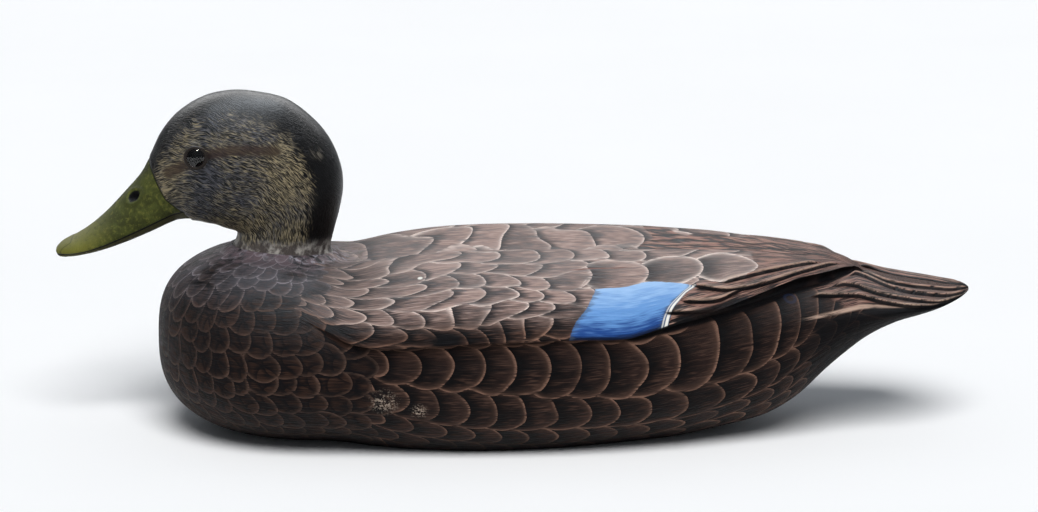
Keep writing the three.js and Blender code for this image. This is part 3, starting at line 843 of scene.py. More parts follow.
# One row of overlapping feathers with round tips: how far inside its own edge a point is, how far behind the
# tip before it, and whether the row covers the point at all
def makeFeatherRow():
    inputs = {"Along": 0.0, "Across": 0.0, "Band": 0.0, "Length": 15.0, "Height": 20.0, "Overlap": 0.1,
              "Pull": 0.9, "Seed": 0.0}
    outputs = {"Edge": "Float", "Behind": "Float", "Tip": "Float", "Covered": "Float", "Cell": "Vector"}
    board, given, sink = shaderGroup("feather row", inputs, outputs)
    band, length, pull = given["Band"], given["Length"], given["Pull"]
    reach = given["Overlap"] + 0.5
    ratio = (given["Across"] - band - 0.5) / reach
    bulge = board.calc("SQRT", board.most(1 - ratio * ratio, 0.0))
    chance = board.white(board.combine(band, given["Seed"], 3.7))
    place = given["Along"] / length + band * 0.5 + (chance - 0.5) * 0.4
    turn = place + pull * (1 - bulge)
    number = board.calc("FLOOR", turn)
    offCentre = place - number - 1 + pull
    squash = offCentre / pull
    q = board.calc("SQRT", squash * squash + ratio * ratio)
    slopeAlong = squash / (pull * length)
    slopeAcross = ratio / (reach * given["Height"])
    slope = board.calc("SQRT", slopeAlong * slopeAlong + slopeAcross * slopeAcross) / board.most(q, 0.05)
    edge = (1 - q) / board.most(slope, 0.03)
    nearest = board.calc("ABSOLUTE", board.calc("FRACT", place + pull + 0.5) - 0.5)
    covered = board.calc("LESS_THAN", nearest, pull * bulge)
    board.feed(sink.inputs["Edge"], edge)
    board.feed(sink.inputs["Behind"], (turn - number) * length)
    board.feed(sink.inputs["Tip"], given["Along"] + (number + 1 - place) * length)
    board.feed(sink.inputs["Covered"], covered)
    board.feed(sink.inputs["Cell"], board.combine(number, band, given["Seed"]))
    return board.tree


# Rows of feathers, each row lying over the next one down
def makeFeatherRows(rowGroup):
    inputs = {"Along": 0.0, "Across": 0.0, "Length": 15.0, "Taper": 0.0, "Height": 20.0, "Overlap": 0.1,
              "Pull": 0.9, "Seed": 0.0}
    outputs = {"Edge": "Float", "Behind": "Float", "Tip": "Float", "Cell": "Vector"}
    board, given, sink = shaderGroup("feather rows", inputs, outputs)
    band = board.calc("FLOOR", given["Across"])
    passed = {key: given[key] for key in ("Along", "Across", "Height", "Overlap", "Pull", "Seed")}
    above = band - 1
    upper = board.use(rowGroup, Band=above, Length=given["Length"] + given["Taper"] * above, **passed)
    lower = board.use(rowGroup, Band=band, Length=given["Length"] + given["Taper"] * band, **passed)
    over = upper("Covered")
    for output in ("Edge", "Behind", "Tip"):
        board.feed(sink.inputs[output], board.pick(over, lower(output), upper(output)))
    board.feed(sink.inputs["Cell"], board.pickVector(over, lower("Cell"), upper("Cell")))
    return board.tree


# Small feathers scattered on a jittered grid, their tips pointing along the flow
def makeScatteredFeathers():
    inputs = {"Place": "Vector", "Flow": "Vector", "Spacing": 10.0, "Long": 0.9, "Wide": 0.68, "Jitter": 0.45,
              "Limit": 0.0}
    outputs = {"Edge": "Float", "Outside": "Float", "Covered": "Float", "Cell": "Vector"}
    board, given, sink = shaderGroup("scattered feathers", inputs, outputs)
    spacing = given["Spacing"]
    steps = board.vector("DIVIDE", given["Place"], board.combine(spacing, spacing, spacing))
    base = board.vector("FLOOR", steps)
    flowX, flowY, unused = board.split(given["Flow"])
    sideways = board.combine(flowY * -1, flowX)
    limit = given["Limit"] / spacing
    farther = 50  # more than any feather reaches, so that a covering feather always wins
    best, edge, cell, outside = -50.0, 0.0, (0.0, 0.0, 0.0), 9.0
    for dx in (-1, 0, 1):
        for dy in (-1, 0, 1):
            corner = board.vector("ADD", base, (dx, dy, 0.0))
            chance = board.white(corner, "Color")
            drift = board.vector("MULTIPLY_ADD", chance, board.combine(given["Jitter"], given["Jitter"]),
                                 (0.28, 0.28, 0.0))
            centre = board.vector("ADD", corner, drift)
            away = board.vector("SUBTRACT", steps, centre)
            forward = board.vector("DOT_PRODUCT", away, given["Flow"])
            aside = board.vector("DOT_PRODUCT", away, sideways)
            q = board.vector("LENGTH", board.combine(forward / given["Long"], aside / given["Wide"]))
            inside = 1 - q
            centreX = board.split(centre)[0]
            covers = board.calc("GREATER_THAN", inside, 0.0) * board.calc("LESS_THAN", centreX, limit)
            score = forward + covers * farther - farther
            better = board.calc("GREATER_THAN", score, best)
            edge = board.pick(better, edge, inside)
            cell = board.pickVector(better, cell, chance)
            best = board.most(score, best)
            outside = board.least(outside, board.calc("ABSOLUTE", inside) + covers * 9)
    halfSize = 0.78  # a feather's mean half size, in spacings
    board.feed(sink.inputs["Edge"], edge * spacing * halfSize)
    board.feed(sink.inputs["Outside"], outside * spacing * halfSize)
    board.feed(sink.inputs["Covered"], board.calc("GREATER_THAN", best, -10.0))
    board.feed(sink.inputs["Cell"], cell)
    return board.tree


# The paint of one feather: nearly black where it comes out from under its neighbour, brown towards the tip,
# with a thin dry-brushed rim that fades inward
def makeFeatherPaint():
    inputs = {"Edge": 0.0, "Behind": 5.0, "Length": 15.0, "Cell": "Vector", "Hair": 0.5, "Grain": 0.5,
              "Worn": 0.5, "Dark": "Color", "Light": "Color", "Rim": "Color", "Width": 1.0, "Strength": 0.8,
              "Ripening": 0.85}
    outputs = {"Color": "Color", "Rim": "Float"}
    board, given, sink = shaderGroup("feather paint", inputs, outputs)
    tone, warmth, unused = board.split(board.white(given["Cell"], "Color"))
    hair = given["Hair"] - 0.5
    out = (given["Behind"] + hair * 3.0) / given["Length"]
    brushed = 0.35 + tone * 0.5 + (given["Grain"] - 0.4) * 0.75 + (given["Worn"] - 0.5) * 0.8
    ripe = board.rise(out, 0.0, given["Ripening"]) * brushed
    ground = board.blend(board.most(ripe, 0.0), given["Dark"], given["Light"])
    ground = board.blend(board.rise(given["Hair"], 0.55, 1.0) * ripe * 0.16, ground, given["Rim"])
    ground = board.blend(board.fall(given["Hair"], 0.05, 0.4) * 0.4, ground, given["Dark"])
    soft = board.fall(given["Edge"] + hair * 3.4, 0.0, given["Width"] * 3.6)
    line = board.fall(given["Edge"] + hair * 1.3, given["Width"] * 0.3, given["Width"] * 1.6)
    crisp = board.rise(given["Edge"] + hair * 0.6, -0.3, 0.15)
    worn = 0.25 + 0.75 * board.rise(given["Worn"] + hair * 0.3, 0.36, 0.58)
    rim = (line * worn * 0.75 + soft * 0.25) * crisp * (0.45 + 0.55 * warmth) * (0.25 + 1.2 * given["Hair"])
    board.feed(sink.inputs["Color"], board.blend(rim * given["Strength"], ground, given["Rim"]))
    board.feed(sink.inputs["Rim"], rim)
    return board.tree


# Fine lines running one way, at two scales, as a comb or a dry brush leaves them
def makeCombing():
    inputs = {"Place": "Vector", "Across": 0.0, "Long": 14.0, "Fine": 0.8}
    outputs = {"Fac": "Float", "Hair": "Float"}
    board, given, sink = shaderGroup("combing", inputs, outputs)
    slow = board.vector("DIVIDE", given["Place"], board.combine(given["Long"], given["Long"], given["Long"]))
    coarse = board.noise(slow, 1.0, 1.0, 0.5, w=given["Across"] / (given["Fine"] * 2.6))
    fine = board.noise(slow, 2.0, 1.0, 0.5, w=given["Across"] / given["Fine"])
    board.feed(sink.inputs["Fac"], board.rise(coarse * 0.5 + fine * 0.5, 0.32, 0.68))
    board.feed(sink.inputs["Hair"], board.rise(fine * 0.75 + coarse * 0.25, 0.3, 0.7))
    return board.tree


# Where the paint is worn thin: soft clouds, and specks in them
def makeWear():
    inputs = {"Place": "Vector", "Size": 30.0}
    outputs = {"Specks": "Float", "Cloud": "Float"}
    board, given, sink = shaderGroup("wear", inputs, outputs)
    size = given["Size"]
    wide = board.vector("DIVIDE", given["Place"], board.combine(size, size, size))
    specks = board.noise(wide, 38.0, 2.0, 0.6)
    board.feed(sink.inputs["Specks"], board.rise(specks, 0.66, 0.74))
    board.feed(sink.inputs["Cloud"], board.noise(wide, 1.0, 4.0, 0.6))
    return board.tree


featherRow = makeFeatherRow()
featherRows = makeFeatherRows(featherRow)
scatteredFeathers = makeScatteredFeathers()
featherPaint = makeFeatherPaint()
combing = makeCombing()
wear = makeWear()
print("shader groups made")


def newMaterial(name):
    material = bpy.data.materials.new(name)
    material.use_nodes = True
    material.node_tree.nodes.clear()
    board = Board(material.node_tree)
    shader = board.node("BsdfPrincipled")
    output = board.node("OutputMaterial")
    material.node_tree.links.new(shader.outputs[0], output.inputs["Surface"])
    return material, board, shader


# A round soft spot of paint or wear about a point, in millimetres
def spot(board, place, centre, radius, soft=0.5):
    distance = board.vector("DISTANCE", place, centre)
    return board.fall(distance, radius * (1 - soft), radius)


bodyPaint = {
    "flankDark": "#030304", "flankLight": "#2a1d19", "flankRim": "#866656",
    "breastDark": "#040406", "breastLight": "#261812", "breastRim": "#58443a",
    # The back's colours are paler than the flank's: partly weathered paint, partly painted sheen where the
    # back faces up
    "backDark": "#161012", "backLight": "#8a726a", "backRim": "#e9d8cf",
    "blue": "#5b89c0", "blueDeep": "#1b3f7c", "bluePale": "#8fb2da", "blueGrey": "#39465a",
    "tailBrown": "#8a665b", "tailDark": "#0c0809", "tailPale": "#b59a89", "dabs": "#5a4b50",
    # shoulderSheenAndWear: pale blue grey for a painted sheen on the shoulder and for wear round the neck's
    # foot
    "shoulderSheenAndWear": "#94919a", "crack": "#5c2c1b", "knot": "#1a2236", "bareWood": "#bfad9c",
    "belly": "#0c0a0b", "black": "#060608", "white": "#d8d6cf",
}

# Marks of use and of the wood, in millimetres: a centre and a radius, or where a line runs
bodyMarks = {
    "scuffs": [((-60.0, -80.0, 31.0), 9.0), ((-44.0, -79.0, 26.0), 5.5)],
    "chip": ((-43.6, -56.7, 85.3), 1.5),
    "crack": {"x": 25.5, "y": -53.7, "slope": 0.207, "starts": (24.0, 32.0), "ends": (50.0, 58.0),
              "above": (80.0, 82.0)},
    "knot": ((132.5, -44.2, 72.9), 2.6),
    "stipple": ((107.9, -37.2, 87.5), 7.0),
    "neck": (-110.0, 0.0, 90.0),
}


# What every part of the body's paint reads: places, noise and the combing of the brush
def bodyFields(board):
    at = SimpleNamespace(tint={key: colour(code) for key, code in bodyPaint.items()})
    at.place = board.place()
    at.x, at.y, at.z = board.split(at.place)
    at.seed = board.calc("GREATER_THAN", at.y, 0.0) * 7
    at.row = board.attribute("row")
    at.across = board.attribute("across")
    wobble = board.noise(at.place, 0.045, 1.0, 0.5, output="Color")
    at.wobbleX, at.wobbleY, at.wobbleZ = board.split(board.vector("SUBTRACT", wobble, (0.5, 0.5, 0.5)))
    at.wingAlong, at.wingBand, at.wingShare = board.split(board.attribute("wing", "Vector"))
    at.isWing = board.rise(at.across, -0.3, 0.3) * board.fall(at.x, 168.0, 171.0)
    at.fromFront, at.fromRear, at.fromTop = board.split(board.attribute("speculum", "Vector"))
    at.tertialAlong, at.tertialBand, at.inward = board.split(board.attribute("tertial", "Vector"))

    # Behind the speculum, on the inner wing and on the tail the feathers are brown and brushed lengthwise
    behind = board.fall(at.fromRear, -0.3, 0.3) * board.fall(at.wingShare, 0.3, 0.36)
    behind = board.most(behind, board.rise(at.x + at.wobbleX * 20, 113.0, 115.0))
    at.isInner = board.rise(at.wingShare + at.wobbleY * 0.3, 0.77, 0.79) * board.rise(
        at.x + at.wobbleX * 60, 64.0, 66.0)
    isTail = board.rise(at.x + (at.row - 1.6) * 26, 150.0, 154.0) * board.rise(at.row, 1.2, 1.28)
    at.isRear = board.most(board.most(behind, at.isInner) * at.isWing, isTail)
    comb = board.use(combing, Place=at.place, Across=at.row * 62, Long=13.0, Fine=0.8)
    at.grain, at.hair = comb("Fac"), comb("Hair")
    rubbed = board.use(wear, Place=at.place, Size=26.0)
    at.cloud, at.specks = rubbed("Cloud"), rubbed("Specks")
    at.brush = {"Hair": at.hair, "Grain": at.grain, "Worn": at.cloud}

    # Round the neck's foot
    at.neckGap = board.vector("DISTANCE", at.place, bodyMarks["neck"]) + (at.cloud - 0.5) * 30
    at.nearNeck = board.fall(at.neckGap, 26.0, 50.0)
    at.dabs = board.noise(at.place, 0.24, 3.0, 0.6) + (at.cloud - 0.5) * 0.5
    return at


# Flank feathers in long rows under the wing
def flankFeathers(board, at):
    along, band, unused = board.split(board.attribute("flank", "Vector"))
    rows = board.use(featherRows, Along=along + at.wobbleX * 7, Across=band + at.wobbleY * 0.3, Length=15.2,
                     Taper=-0.6, Height=24.0, Overlap=0.08, Pull=1.0, Seed=at.seed)
    return board.use(featherPaint, Edge=rows("Edge"), Behind=rows("Behind"), Cell=rows("Cell"), Length=15.0,
                     Dark=at.tint["flankDark"], Light=at.tint["flankLight"], Rim=at.tint["flankRim"],
                     Width=1.05, Strength=0.9, Ripening=0.75, **at.brush)("Color")


# Wing and back feathers, longer towards the top, and as dark as the flank low down and at the shoulder
def wingFeathersOver(board, at, paint):
    rows = board.use(featherRows, Along=at.wingAlong + at.wobbleX * 9, Across=at.wingBand + at.wobbleY * 0.65,
                     Length=20.5, Taper=-1.45, Height=13.0, Overlap=0.14, Pull=0.82, Seed=at.seed)
    low = board.fall(at.wingShare + at.wobbleZ * 0.05, 0.05, 0.26)
    low = board.most(low, board.fall(at.x + at.wobbleX * 30, -112.0, -24.0) * 0.74)
    low = board.most(low, board.fall(at.x + at.wobbleX * 30, -112.0, -72.0) * 0.9)
    # Higher up the back's paler colours take over: partly weathered paint, partly painted sheen on the
    # upward-facing back
    tones = {part: board.blend(low, at.tint["back" + part], at.tint["flank" + part])
             for part in ("Dark", "Light", "Rim")}
    wing = board.use(featherPaint, Edge=rows("Edge"), Behind=rows("Behind"), Cell=rows("Cell"), Length=15.0,
                     Width=1.0, Strength=0.88, Ripening=0.5, **tones, **at.brush)("Color")
    return rows, board.blend(at.isWing, paint, wing)


# Breast feathers, small and scattered, turning from the neck down and back
def breastFeathersOver(board, at, paint):
    along, up, limit = board.split(board.attribute("breast", "Vector"))
    spread = board.combine(along + at.wobbleX * 5, up * 1.1 + at.wobbleY * 5)
    breast = board.use(scatteredFeathers, Place=spread, Flow=board.attribute("flow", "Vector"), Spacing=11.6,
                       Long=0.95, Wide=0.68, Jitter=0.44, Limit=limit)
    feather = board.use(featherPaint, Edge=breast("Edge"), Behind=breast("Outside") * 1.6,
                        Cell=breast("Cell"), Length=9.0, Dark=at.tint["breastDark"],
                        Light=at.tint["breastLight"], Rim=at.tint["breastRim"], Width=1.1, Strength=0.85,
                        Ripening=0.6, **at.brush)
    paint = board.blend(breast("Covered"), paint, feather("Color"))

    # Towards the neck's foot their rims get a pale painted sheen, and then they are lost in grey and purple
    # dabs and a pale band
    # Painted sheen: pale blue grey on the rims of the shoulder feathers
    shoulder = board.fall(at.neckGap, 48.0, 72.0) * breast("Covered")
    shoulder = shoulder * board.rise(at.cloud + at.hair * 0.2, 0.42, 0.66)
    paint = board.blend(shoulder * (feather("Rim") * 0.6 + 0.16), paint, at.tint["shoulderSheenAndWear"])
    paint = board.blend(at.nearNeck * board.rise(at.dabs, 0.42, 0.62) * 0.7, paint, at.tint["dabs"])
    paint = board.blend(at.nearNeck * board.fall(at.dabs, 0.36, 0.5) * 0.7, paint, at.tint["black"])
    # Nearest the neck a pale band: partly wear, partly painted sheen
    pale = board.fall(at.neckGap, 24.0, 34.0)
    pale = pale * board.rise(board.noise(at.place, 0.33, 3.0, 0.65), 0.5, 0.62)
    return board.blend(pale * 0.75, paint, at.tint["shoulderSheenAndWear"])


def rearFeathersOver(board, at, paint):
    brown = board.rise(at.grain + (at.cloud - 0.5) * 0.8, 0.2, 0.8)
    rear = board.blend(brown, at.tint["tailDark"], at.tint["tailBrown"])
    rear = board.blend(board.rise(at.hair, 0.66, 0.95) * 0.45, rear, at.tint["tailPale"])
    rear = board.blend(board.fall(at.hair, 0.14, 0.32) * 0.8, rear, at.tint["tailDark"])
    return board.blend(at.isRear, paint, rear)


# The large tertials lie over those wing feathers whose tips are far enough back
def tertialsOver(board, at, paint, wing):
    count, frontTip = 4, 47.0
    row = board.use(featherRow, Along=at.tertialAlong + at.wobbleX * 3,
                    Across=at.tertialBand + at.wobbleY * 0.1, Band=0.0, Length=26.6, Height=16.0,
                    Overlap=0.08, Pull=0.62, Seed=1.0)
    number = board.split(row("Cell"))[0]
    shown = row("Covered") * board.calc("LESS_THAN", number, -0.5)
    shown = shown * board.calc("GREATER_THAN", number, -0.5 - count)
    shown = shown * board.calc("GREATER_THAN", wing("Tip"), frontTip)
    tertial = board.use(featherPaint, Edge=row("Edge"), Behind=row("Behind"), Cell=row("Cell"), Length=22.0,
                        Dark=at.tint["backDark"], Light=at.tint["backLight"], Rim=at.tint["backRim"],
                        Width=1.1, Strength=0.9, **at.brush)("Color")
    return board.blend(shown * at.isWing, paint, tertial)


# The speculum: blue, deeper below, dark at its ends, with two white lines behind, and painted shade along its
# lower edge
def speculumOver(board, at, paint):
    ragged = (at.hair - 0.5) * 0.5
    inside = board.least(board.least(at.fromFront, at.fromRear), at.fromTop) + ragged
    isBlue = board.rise(inside, -0.2, 0.3) * at.isWing
    lowest = board.rise(at.wingShare + (at.grain - 0.5) * 0.1, 0.03, 0.17)
    highest = board.rise(at.wingShare + (at.grain - 0.5) * 0.16, 0.16, 0.42)
    blue = board.blend(lowest, at.tint["blueDeep"], at.tint["blue"])
    blue = board.blend(highest, blue, at.tint["bluePale"])
    # Painted shade along the wing's lower edge, where the wing turns under
    blue = board.blend(board.fall(at.across + ragged * 2, 0.8, 2.6) * 0.85, blue, at.tint["black"])
    front = board.fall(at.fromFront + (at.hair - 0.5) * 4, 0.6, 3.0)
    rear = board.fall(at.fromRear + (at.hair - 0.5) * 2, 3.0, 5.4)
    blue = board.blend(front * 0.6, blue, at.tint["blueGrey"])
    blue = board.blend(rear * 0.75, blue, at.tint["blueGrey"])
    blue = board.blend(board.band(at.fromRear - 1.2, 0.5, 1.0), blue, at.tint["white"])
    blue = board.blend(board.band(at.fromRear - 3.0, 0.25, 0.6) * 0.6, blue, at.tint["white"])
    return board.blend(isBlue, paint, blue)


# The tail has a pale worn lower edge and is dark beneath, partly its paint and partly painted shade under the
# tail
def tailEdgeOver(board, at, paint):
    onTail = board.rise(at.x, 134.0, 150.0)
    edge = onTail * board.band(at.row - 1.235 + at.wobbleY * 0.06, 0.015, 0.06)
    paint = board.blend(edge * board.rise(at.cloud + at.hair * 0.3, 0.45, 0.65) * 0.9, paint,
                        at.tint["tailPale"])
    # Dark paint deepened as painted shade under the tail
    return board.blend(onTail * board.fall(at.row, 1.1, 1.2) * 0.9, paint, at.tint["black"])


# Dark lines on the inner wing, painted shade in the grooves, pale rubbed and highlighted edges, darker
# towards the bottom
def carvingOver(board, at, paint):
    turn = board.calc("FRACT", at.inward / 3.4 + at.wobbleY * 1.2)
    lines = board.fall(board.calc("ABSOLUTE", turn - 0.5) + (at.hair - 0.5) * 0.06, 0.1, 0.24) * at.isInner
    lines = lines * board.rise(at.inward, 3.0, 5.0) * board.fall(at.x, 146.0, 158.0)
    paint = board.blend(lines * 0.85, paint, at.tint["black"])
    # Rubbed edges above the grooves painted pale: partly wear, partly a painted highlight
    ledgeWearAndHighlight = board.rise(board.attribute("ledgeWearAndHighlight"), 0.2, 0.9) * board.rise(at.cloud + at.hair * 0.3, 0.4, 0.8)
    paint = board.blend(ledgeWearAndHighlight * 0.6, paint, at.tint["tailPale"])
    # Painted shade: near black in the grooves, under the wing's edge and on its wall
    shadedCrevice = board.rise(board.attribute("shadedCrevice") + (at.hair - 0.5) * 0.2, 0.12, 0.45)
    paint = board.blend(shadedCrevice * 0.97, paint, at.tint["black"])
    # Darker towards the bottom
    return board.blend(board.fall(at.z, 3.0, 14.0) * 0.75, paint, at.tint["belly"])


def marksOver(board, at, paint):
    scuffs = [spot(board, at.place, centre, radius, 0.9) for centre, radius in bodyMarks["scuffs"]]
    bare = board.rise(board.noise(at.place, 1.1, 2.0, 0.6) + (at.hair - 0.5) * 0.15, 0.52, 0.62)
    paint = board.blend(board.most(*scuffs) * bare * 0.6, paint, at.tint["bareWood"])
    paint = board.blend(spot(board, at.place, *bodyMarks["chip"]), paint, at.tint["white"])
    crack = bodyMarks["crack"]
    line = board.band(at.y - crack["y"] - (at.x - crack["x"]) * crack["slope"] + at.wobbleZ * 6, 0.2, 0.8)
    line = line * board.rise(at.x, *crack["starts"]) * board.fall(at.x, *crack["ends"])
    paint = board.blend(line * board.rise(at.z, *crack["above"]) * 0.8, paint, at.tint["crack"])
    centre, radius = bodyMarks["knot"]
    ring = board.band(board.vector("DISTANCE", at.place, centre) - radius, 0.4, 1.1)
    paint = board.blend(ring * 0.6, paint, at.tint["knot"])
    centre, radius = bodyMarks["stipple"]
    stipple = spot(board, at.place, centre, radius, 0.9) * at.specks
    return board.blend(stipple * 0.8, paint, at.tint["black"])


def makeBodyPaint():
    material, board, shader = newMaterial("duck body paint")
    at = bodyFields(board)
    wing, paint = wingFeathersOver(board, at, flankFeathers(board, at))
    paint = breastFeathersOver(board, at, paint)
    paint = rearFeathersOver(board, at, paint)
    paint = tertialsOver(board, at, paint, wing)
    paint = speculumOver(board, at, paint)
    paint = tailEdgeOver(board, at, paint)
    paint = carvingOver(board, at, paint)
    board.feed(shader.inputs["Base Color"], marksOver(board, at, paint))
    rubbed = at.nearNeck * board.rise(at.dabs, 0.4, 0.7)
    board.feed(shader.inputs["Roughness"], 0.36 + at.cloud * 0.2 + at.hair * 0.3 - rubbed * 0.12)
    shader.inputs["Specular IOR Level"].default_value = 0.09
    grooves = at.grain * board.pick(at.isRear, 0.18, 0.42)
    board.relief(shader, grooves + board.noise(at.place, 0.5, 3.0, 0.6) * 0.2, 0.0009)
    return material


headPaint = {
    "tan": "#80755c", "tanDark": "#3f4046", "stroke": "#05070b", "cap": "#050506", "capGrey": "#232328",
    "brown": "#2b1b13", "bill": "#474c20", "billDark": "#2b2f11", "billTip": "#6b6a2c",
    "lowerBill": "#332f1e", "black": "#040405", "chip": "#a89f8f", "neckGrey": "#47413f",
    "neckPale": "#a19d97",
}

headMarks = {
    "greyCheek": (-140.0, -24.0, 121.0),
    "scrape": ((-91.5, -18.5, 139.5), 7.0),
}


# Tan cheeks under short dark strokes, a brown stripe through the eye, and the near black cap down the nape
def facePaint(board, at):
    grey = board.fall(board.vector("DISTANCE", at.place, headMarks["greyCheek"]), 8.0, 26.0)
    grey = board.most(grey, board.rise(at.z, 136.0, 152.0) * 0.8)
    tan = board.rise(at.cloud * 0.6 + at.fibre * 0.6 - grey * 0.13, 0.4, 0.7)
    ground = board.blend(tan, at.tint["tanDark"], at.tint["tan"])
    stripe = board.fall(board.attribute("stripe") + (at.fibre - 0.5) * 5, 1.6, 3.6)
    ground = board.blend(stripe * 0.8, ground, at.tint["brown"])
    along = at.x + at.y * 0.3
    dash = board.dashes(board.combine(along / 4.0, at.z / 4.0, at.lane / 0.42), 0.41, 0.52)
    hair = board.dashes(board.combine(along / 2.8 + 7, at.z / 2.8, at.lane / 0.3), 0.39, 0.5)
    strokes = board.most(dash, hair * 0.85) * (1 - stripe * 0.55)
    face = board.blend(strokes * 0.95, ground, at.tint["stroke"])

    cap = board.fall(board.attribute("cap") + (at.fibre - 0.5) * 9 + strokes * -2.0, -3.0, 3.5)
    cap = board.most(cap, board.band(at.y, 9.0, 12.0) * board.rise(at.z, 118.0, 126.0))
    greyer = board.rise(board.noise(at.place, 0.035, 3.0, 0.6) + (at.fibre - 0.5) * 0.3, 0.45, 0.75)
    capColour = board.blend(greyer * 0.5, at.tint["cap"], at.tint["capGrey"])
    return strokes, board.blend(cap, face, capColour)


def billPaint(board, at):
    mottle = board.noise(at.place, 0.09, 4.0, 0.65)
    fleck = board.noise(at.place, 0.45, 3.0, 0.7)
    olive = board.blend(board.rise(mottle, 0.35, 0.68), at.tint["billDark"], at.tint["bill"])
    nearTip = board.fall(at.x + (mottle - 0.5) * 26, -212.0, -192.0)
    olive = board.blend(nearTip * 0.8, olive, at.tint["billTip"])
    olive = board.blend(board.rise(fleck, 0.5, 0.66) * 0.4, olive, at.tint["billTip"])
    olive = board.blend(board.fall(fleck, 0.32, 0.44) * 0.5, olive, at.tint["billDark"])
    nail = board.attribute("nail")
    nailRim = board.rise(nail, 0.2, 0.5) * board.fall(nail, 0.5, 0.9)
    olive = board.blend(nailRim * 0.6, olive, at.tint["lowerBill"])
    olive = board.blend(at.lowerBill * 0.8, olive, at.tint["lowerBill"])
    hole = board.attribute("hole")
    olive = board.blend(board.band(hole - 1.75, 0.2, 0.5) * 0.4, olive, at.tint["billDark"])
    return board.blend(board.fall(hole + (fleck - 0.5) * 0.5, 0.85, 1.1), olive, at.tint["black"])


# A pale smear at the neck's foot, a scraped place on the nape, and dark seams of bill and mouth
def headWearOver(board, at, paint):
    foot = board.fall(at.z + (at.fibre - 0.5) * 3 + (at.cloud - 0.5) * 8, 91.5, 97.0)
    foot = foot * board.rise(at.x, -150.0, -145.0)
    pale = board.rise(board.noise(at.place, 0.2, 3.0, 0.6), 0.4, 0.62)
    paint = board.blend(foot * 0.9, paint, board.blend(pale, at.tint["neckGrey"], at.tint["neckPale"]))
    scratches = board.noise(board.scaled(at.place, 0.15), 1.0, 1.0, 0.5, w=(at.x * 0.8 + at.z * 0.6) / 0.5)
    centre, radius = headMarks["scrape"]
    scrape = spot(board, at.place, centre, radius, 0.9) * board.rise(scratches, 0.5, 0.6)
    paint = board.blend(scrape * 0.8, paint, at.tint["chip"])
    paint = board.blend(board.band(at.bill, 0.2, 0.8) * 0.75, paint, at.tint["black"])
    return board.blend(board.rise(at.mouth, 0.3, 0.75), paint, at.tint["black"])


def makeHeadPaint():
    material, board, shader = newMaterial("duck head paint")
    at = SimpleNamespace(tint={key: colour(code) for key, code in headPaint.items()})
    at.place = board.place()
    at.x, at.y, at.z = board.split(at.place)
    wobble = board.noise(at.place, 0.16, 1.0, 0.5) + board.noise(at.place, 0.05, 1.0, 0.5) * 3
    at.lane = board.attribute("stroke") + wobble * 2.2
    at.fibre = board.noise(board.scaled(at.place, 0.3), 1.0, 1.0, 0.5, w=at.lane / 0.4)
    at.cloud = board.noise(at.place, 0.05, 3.0, 0.6)
    at.bill = board.attribute("bill")
    unused, at.lowerBill, at.mouth = board.split(board.attribute("mouth", "Vector"))
    strokes, face = facePaint(board, at)
    isBill = board.rise(at.bill, -0.3, 0.2)
    paint = board.blend(isBill, face, billPaint(board, at))
    board.feed(shader.inputs["Base Color"], headWearOver(board, at, paint))
    board.feed(shader.inputs["Roughness"], 0.3 + at.cloud * 0.2 + isBill * 0.3)
    shader.inputs["Specular IOR Level"].default_value = 0.16
    board.relief(shader, strokes * 0.12 + board.noise(at.place, 0.6, 3.0, 0.6) * 0.12, 0.0008)
    return material


# Glass eyes: a clear domed button with a painted disc sealed in it

eyeShape = {
    "radius": 5, "dome": 2.2, "bevel": 0.4, "steps": 12, "around": 48,
    "disc": {"radius": 4.85, "at": 2.4, "behind": 0.3, "wall": 2.97, "wallThick": 0.25},
    "lid": {"radius": 5.1, "thick": 0.78, "sunk": 0.5, "squash": 0.8, "around": 12},
    "rimHeight": 3,
    "pupil": (3.1, 3.3),
}


# Spins an outline about the eye's axis, and sets it on one side of the head, base being its distance out
def spunPiece(name, side, bm, base, squash=1):
    eye = headShape["eye"]
    bmesh.ops.spin(bm, geom=bm.verts[:] + bm.edges[:], cent=(0, 0, 0), axis=(0, 1, 0), angle=2 * math.pi,
                   steps=eyeShape["around"], use_merge=True)
    bmesh.ops.remove_doubles(bm, verts=bm.verts, dist=weldGap / mm)
    for vert in bm.verts:
        out = side * (base + vert.co.y * squash)
        vert.co = Vector((eye["x"] + vert.co.x, out, eye["z"] + vert.co.z)) * mm
    return newPiece(name, bm)


# A turned piece of the eye, from its profile of (radius, height) points
def eyePiece(name, side, profile, material):
    eye = headShape["eye"]
    bm = bmesh.new()
    verts = [bm.verts.new((radius, height, 0)) for radius, height in profile]
    for pair in zip(verts[:-1], verts[1:]):
        bm.edges.new(pair)
    piece = spunPiece(name, side, bm, eye["cheek"] - eye["depth"])
    piece.data.set_sharp_from_angle(angle=math.radians(30))
    piece.data.materials.append(material)
    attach(piece, "root")
    return piece


def domeProfile():
    radius, bevel, steps = eyeShape["radius"], eyeShape["bevel"], eyeShape["steps"]
    profile = [(0, 0), (radius - bevel, 0), (radius, bevel)]
    for i in range(steps + 1):
        share = 1 - i / steps
        profile.append((radius * share, eyeShape["rimHeight"] + eyeShape["dome"] * (1 - share * share)))
    return profile


# A flat cup: the painted disc and a low wall round it
def discProfile():
    disc = eyeShape["disc"]
    outer, inner = disc["radius"], disc["radius"] - disc["wallThick"]
    top, under, wall = disc["at"], disc["at"] - disc["behind"], disc["wall"]
    return [(0, under), (outer, under), (outer, wall), (inner, wall), (inner, top), (0, top)]


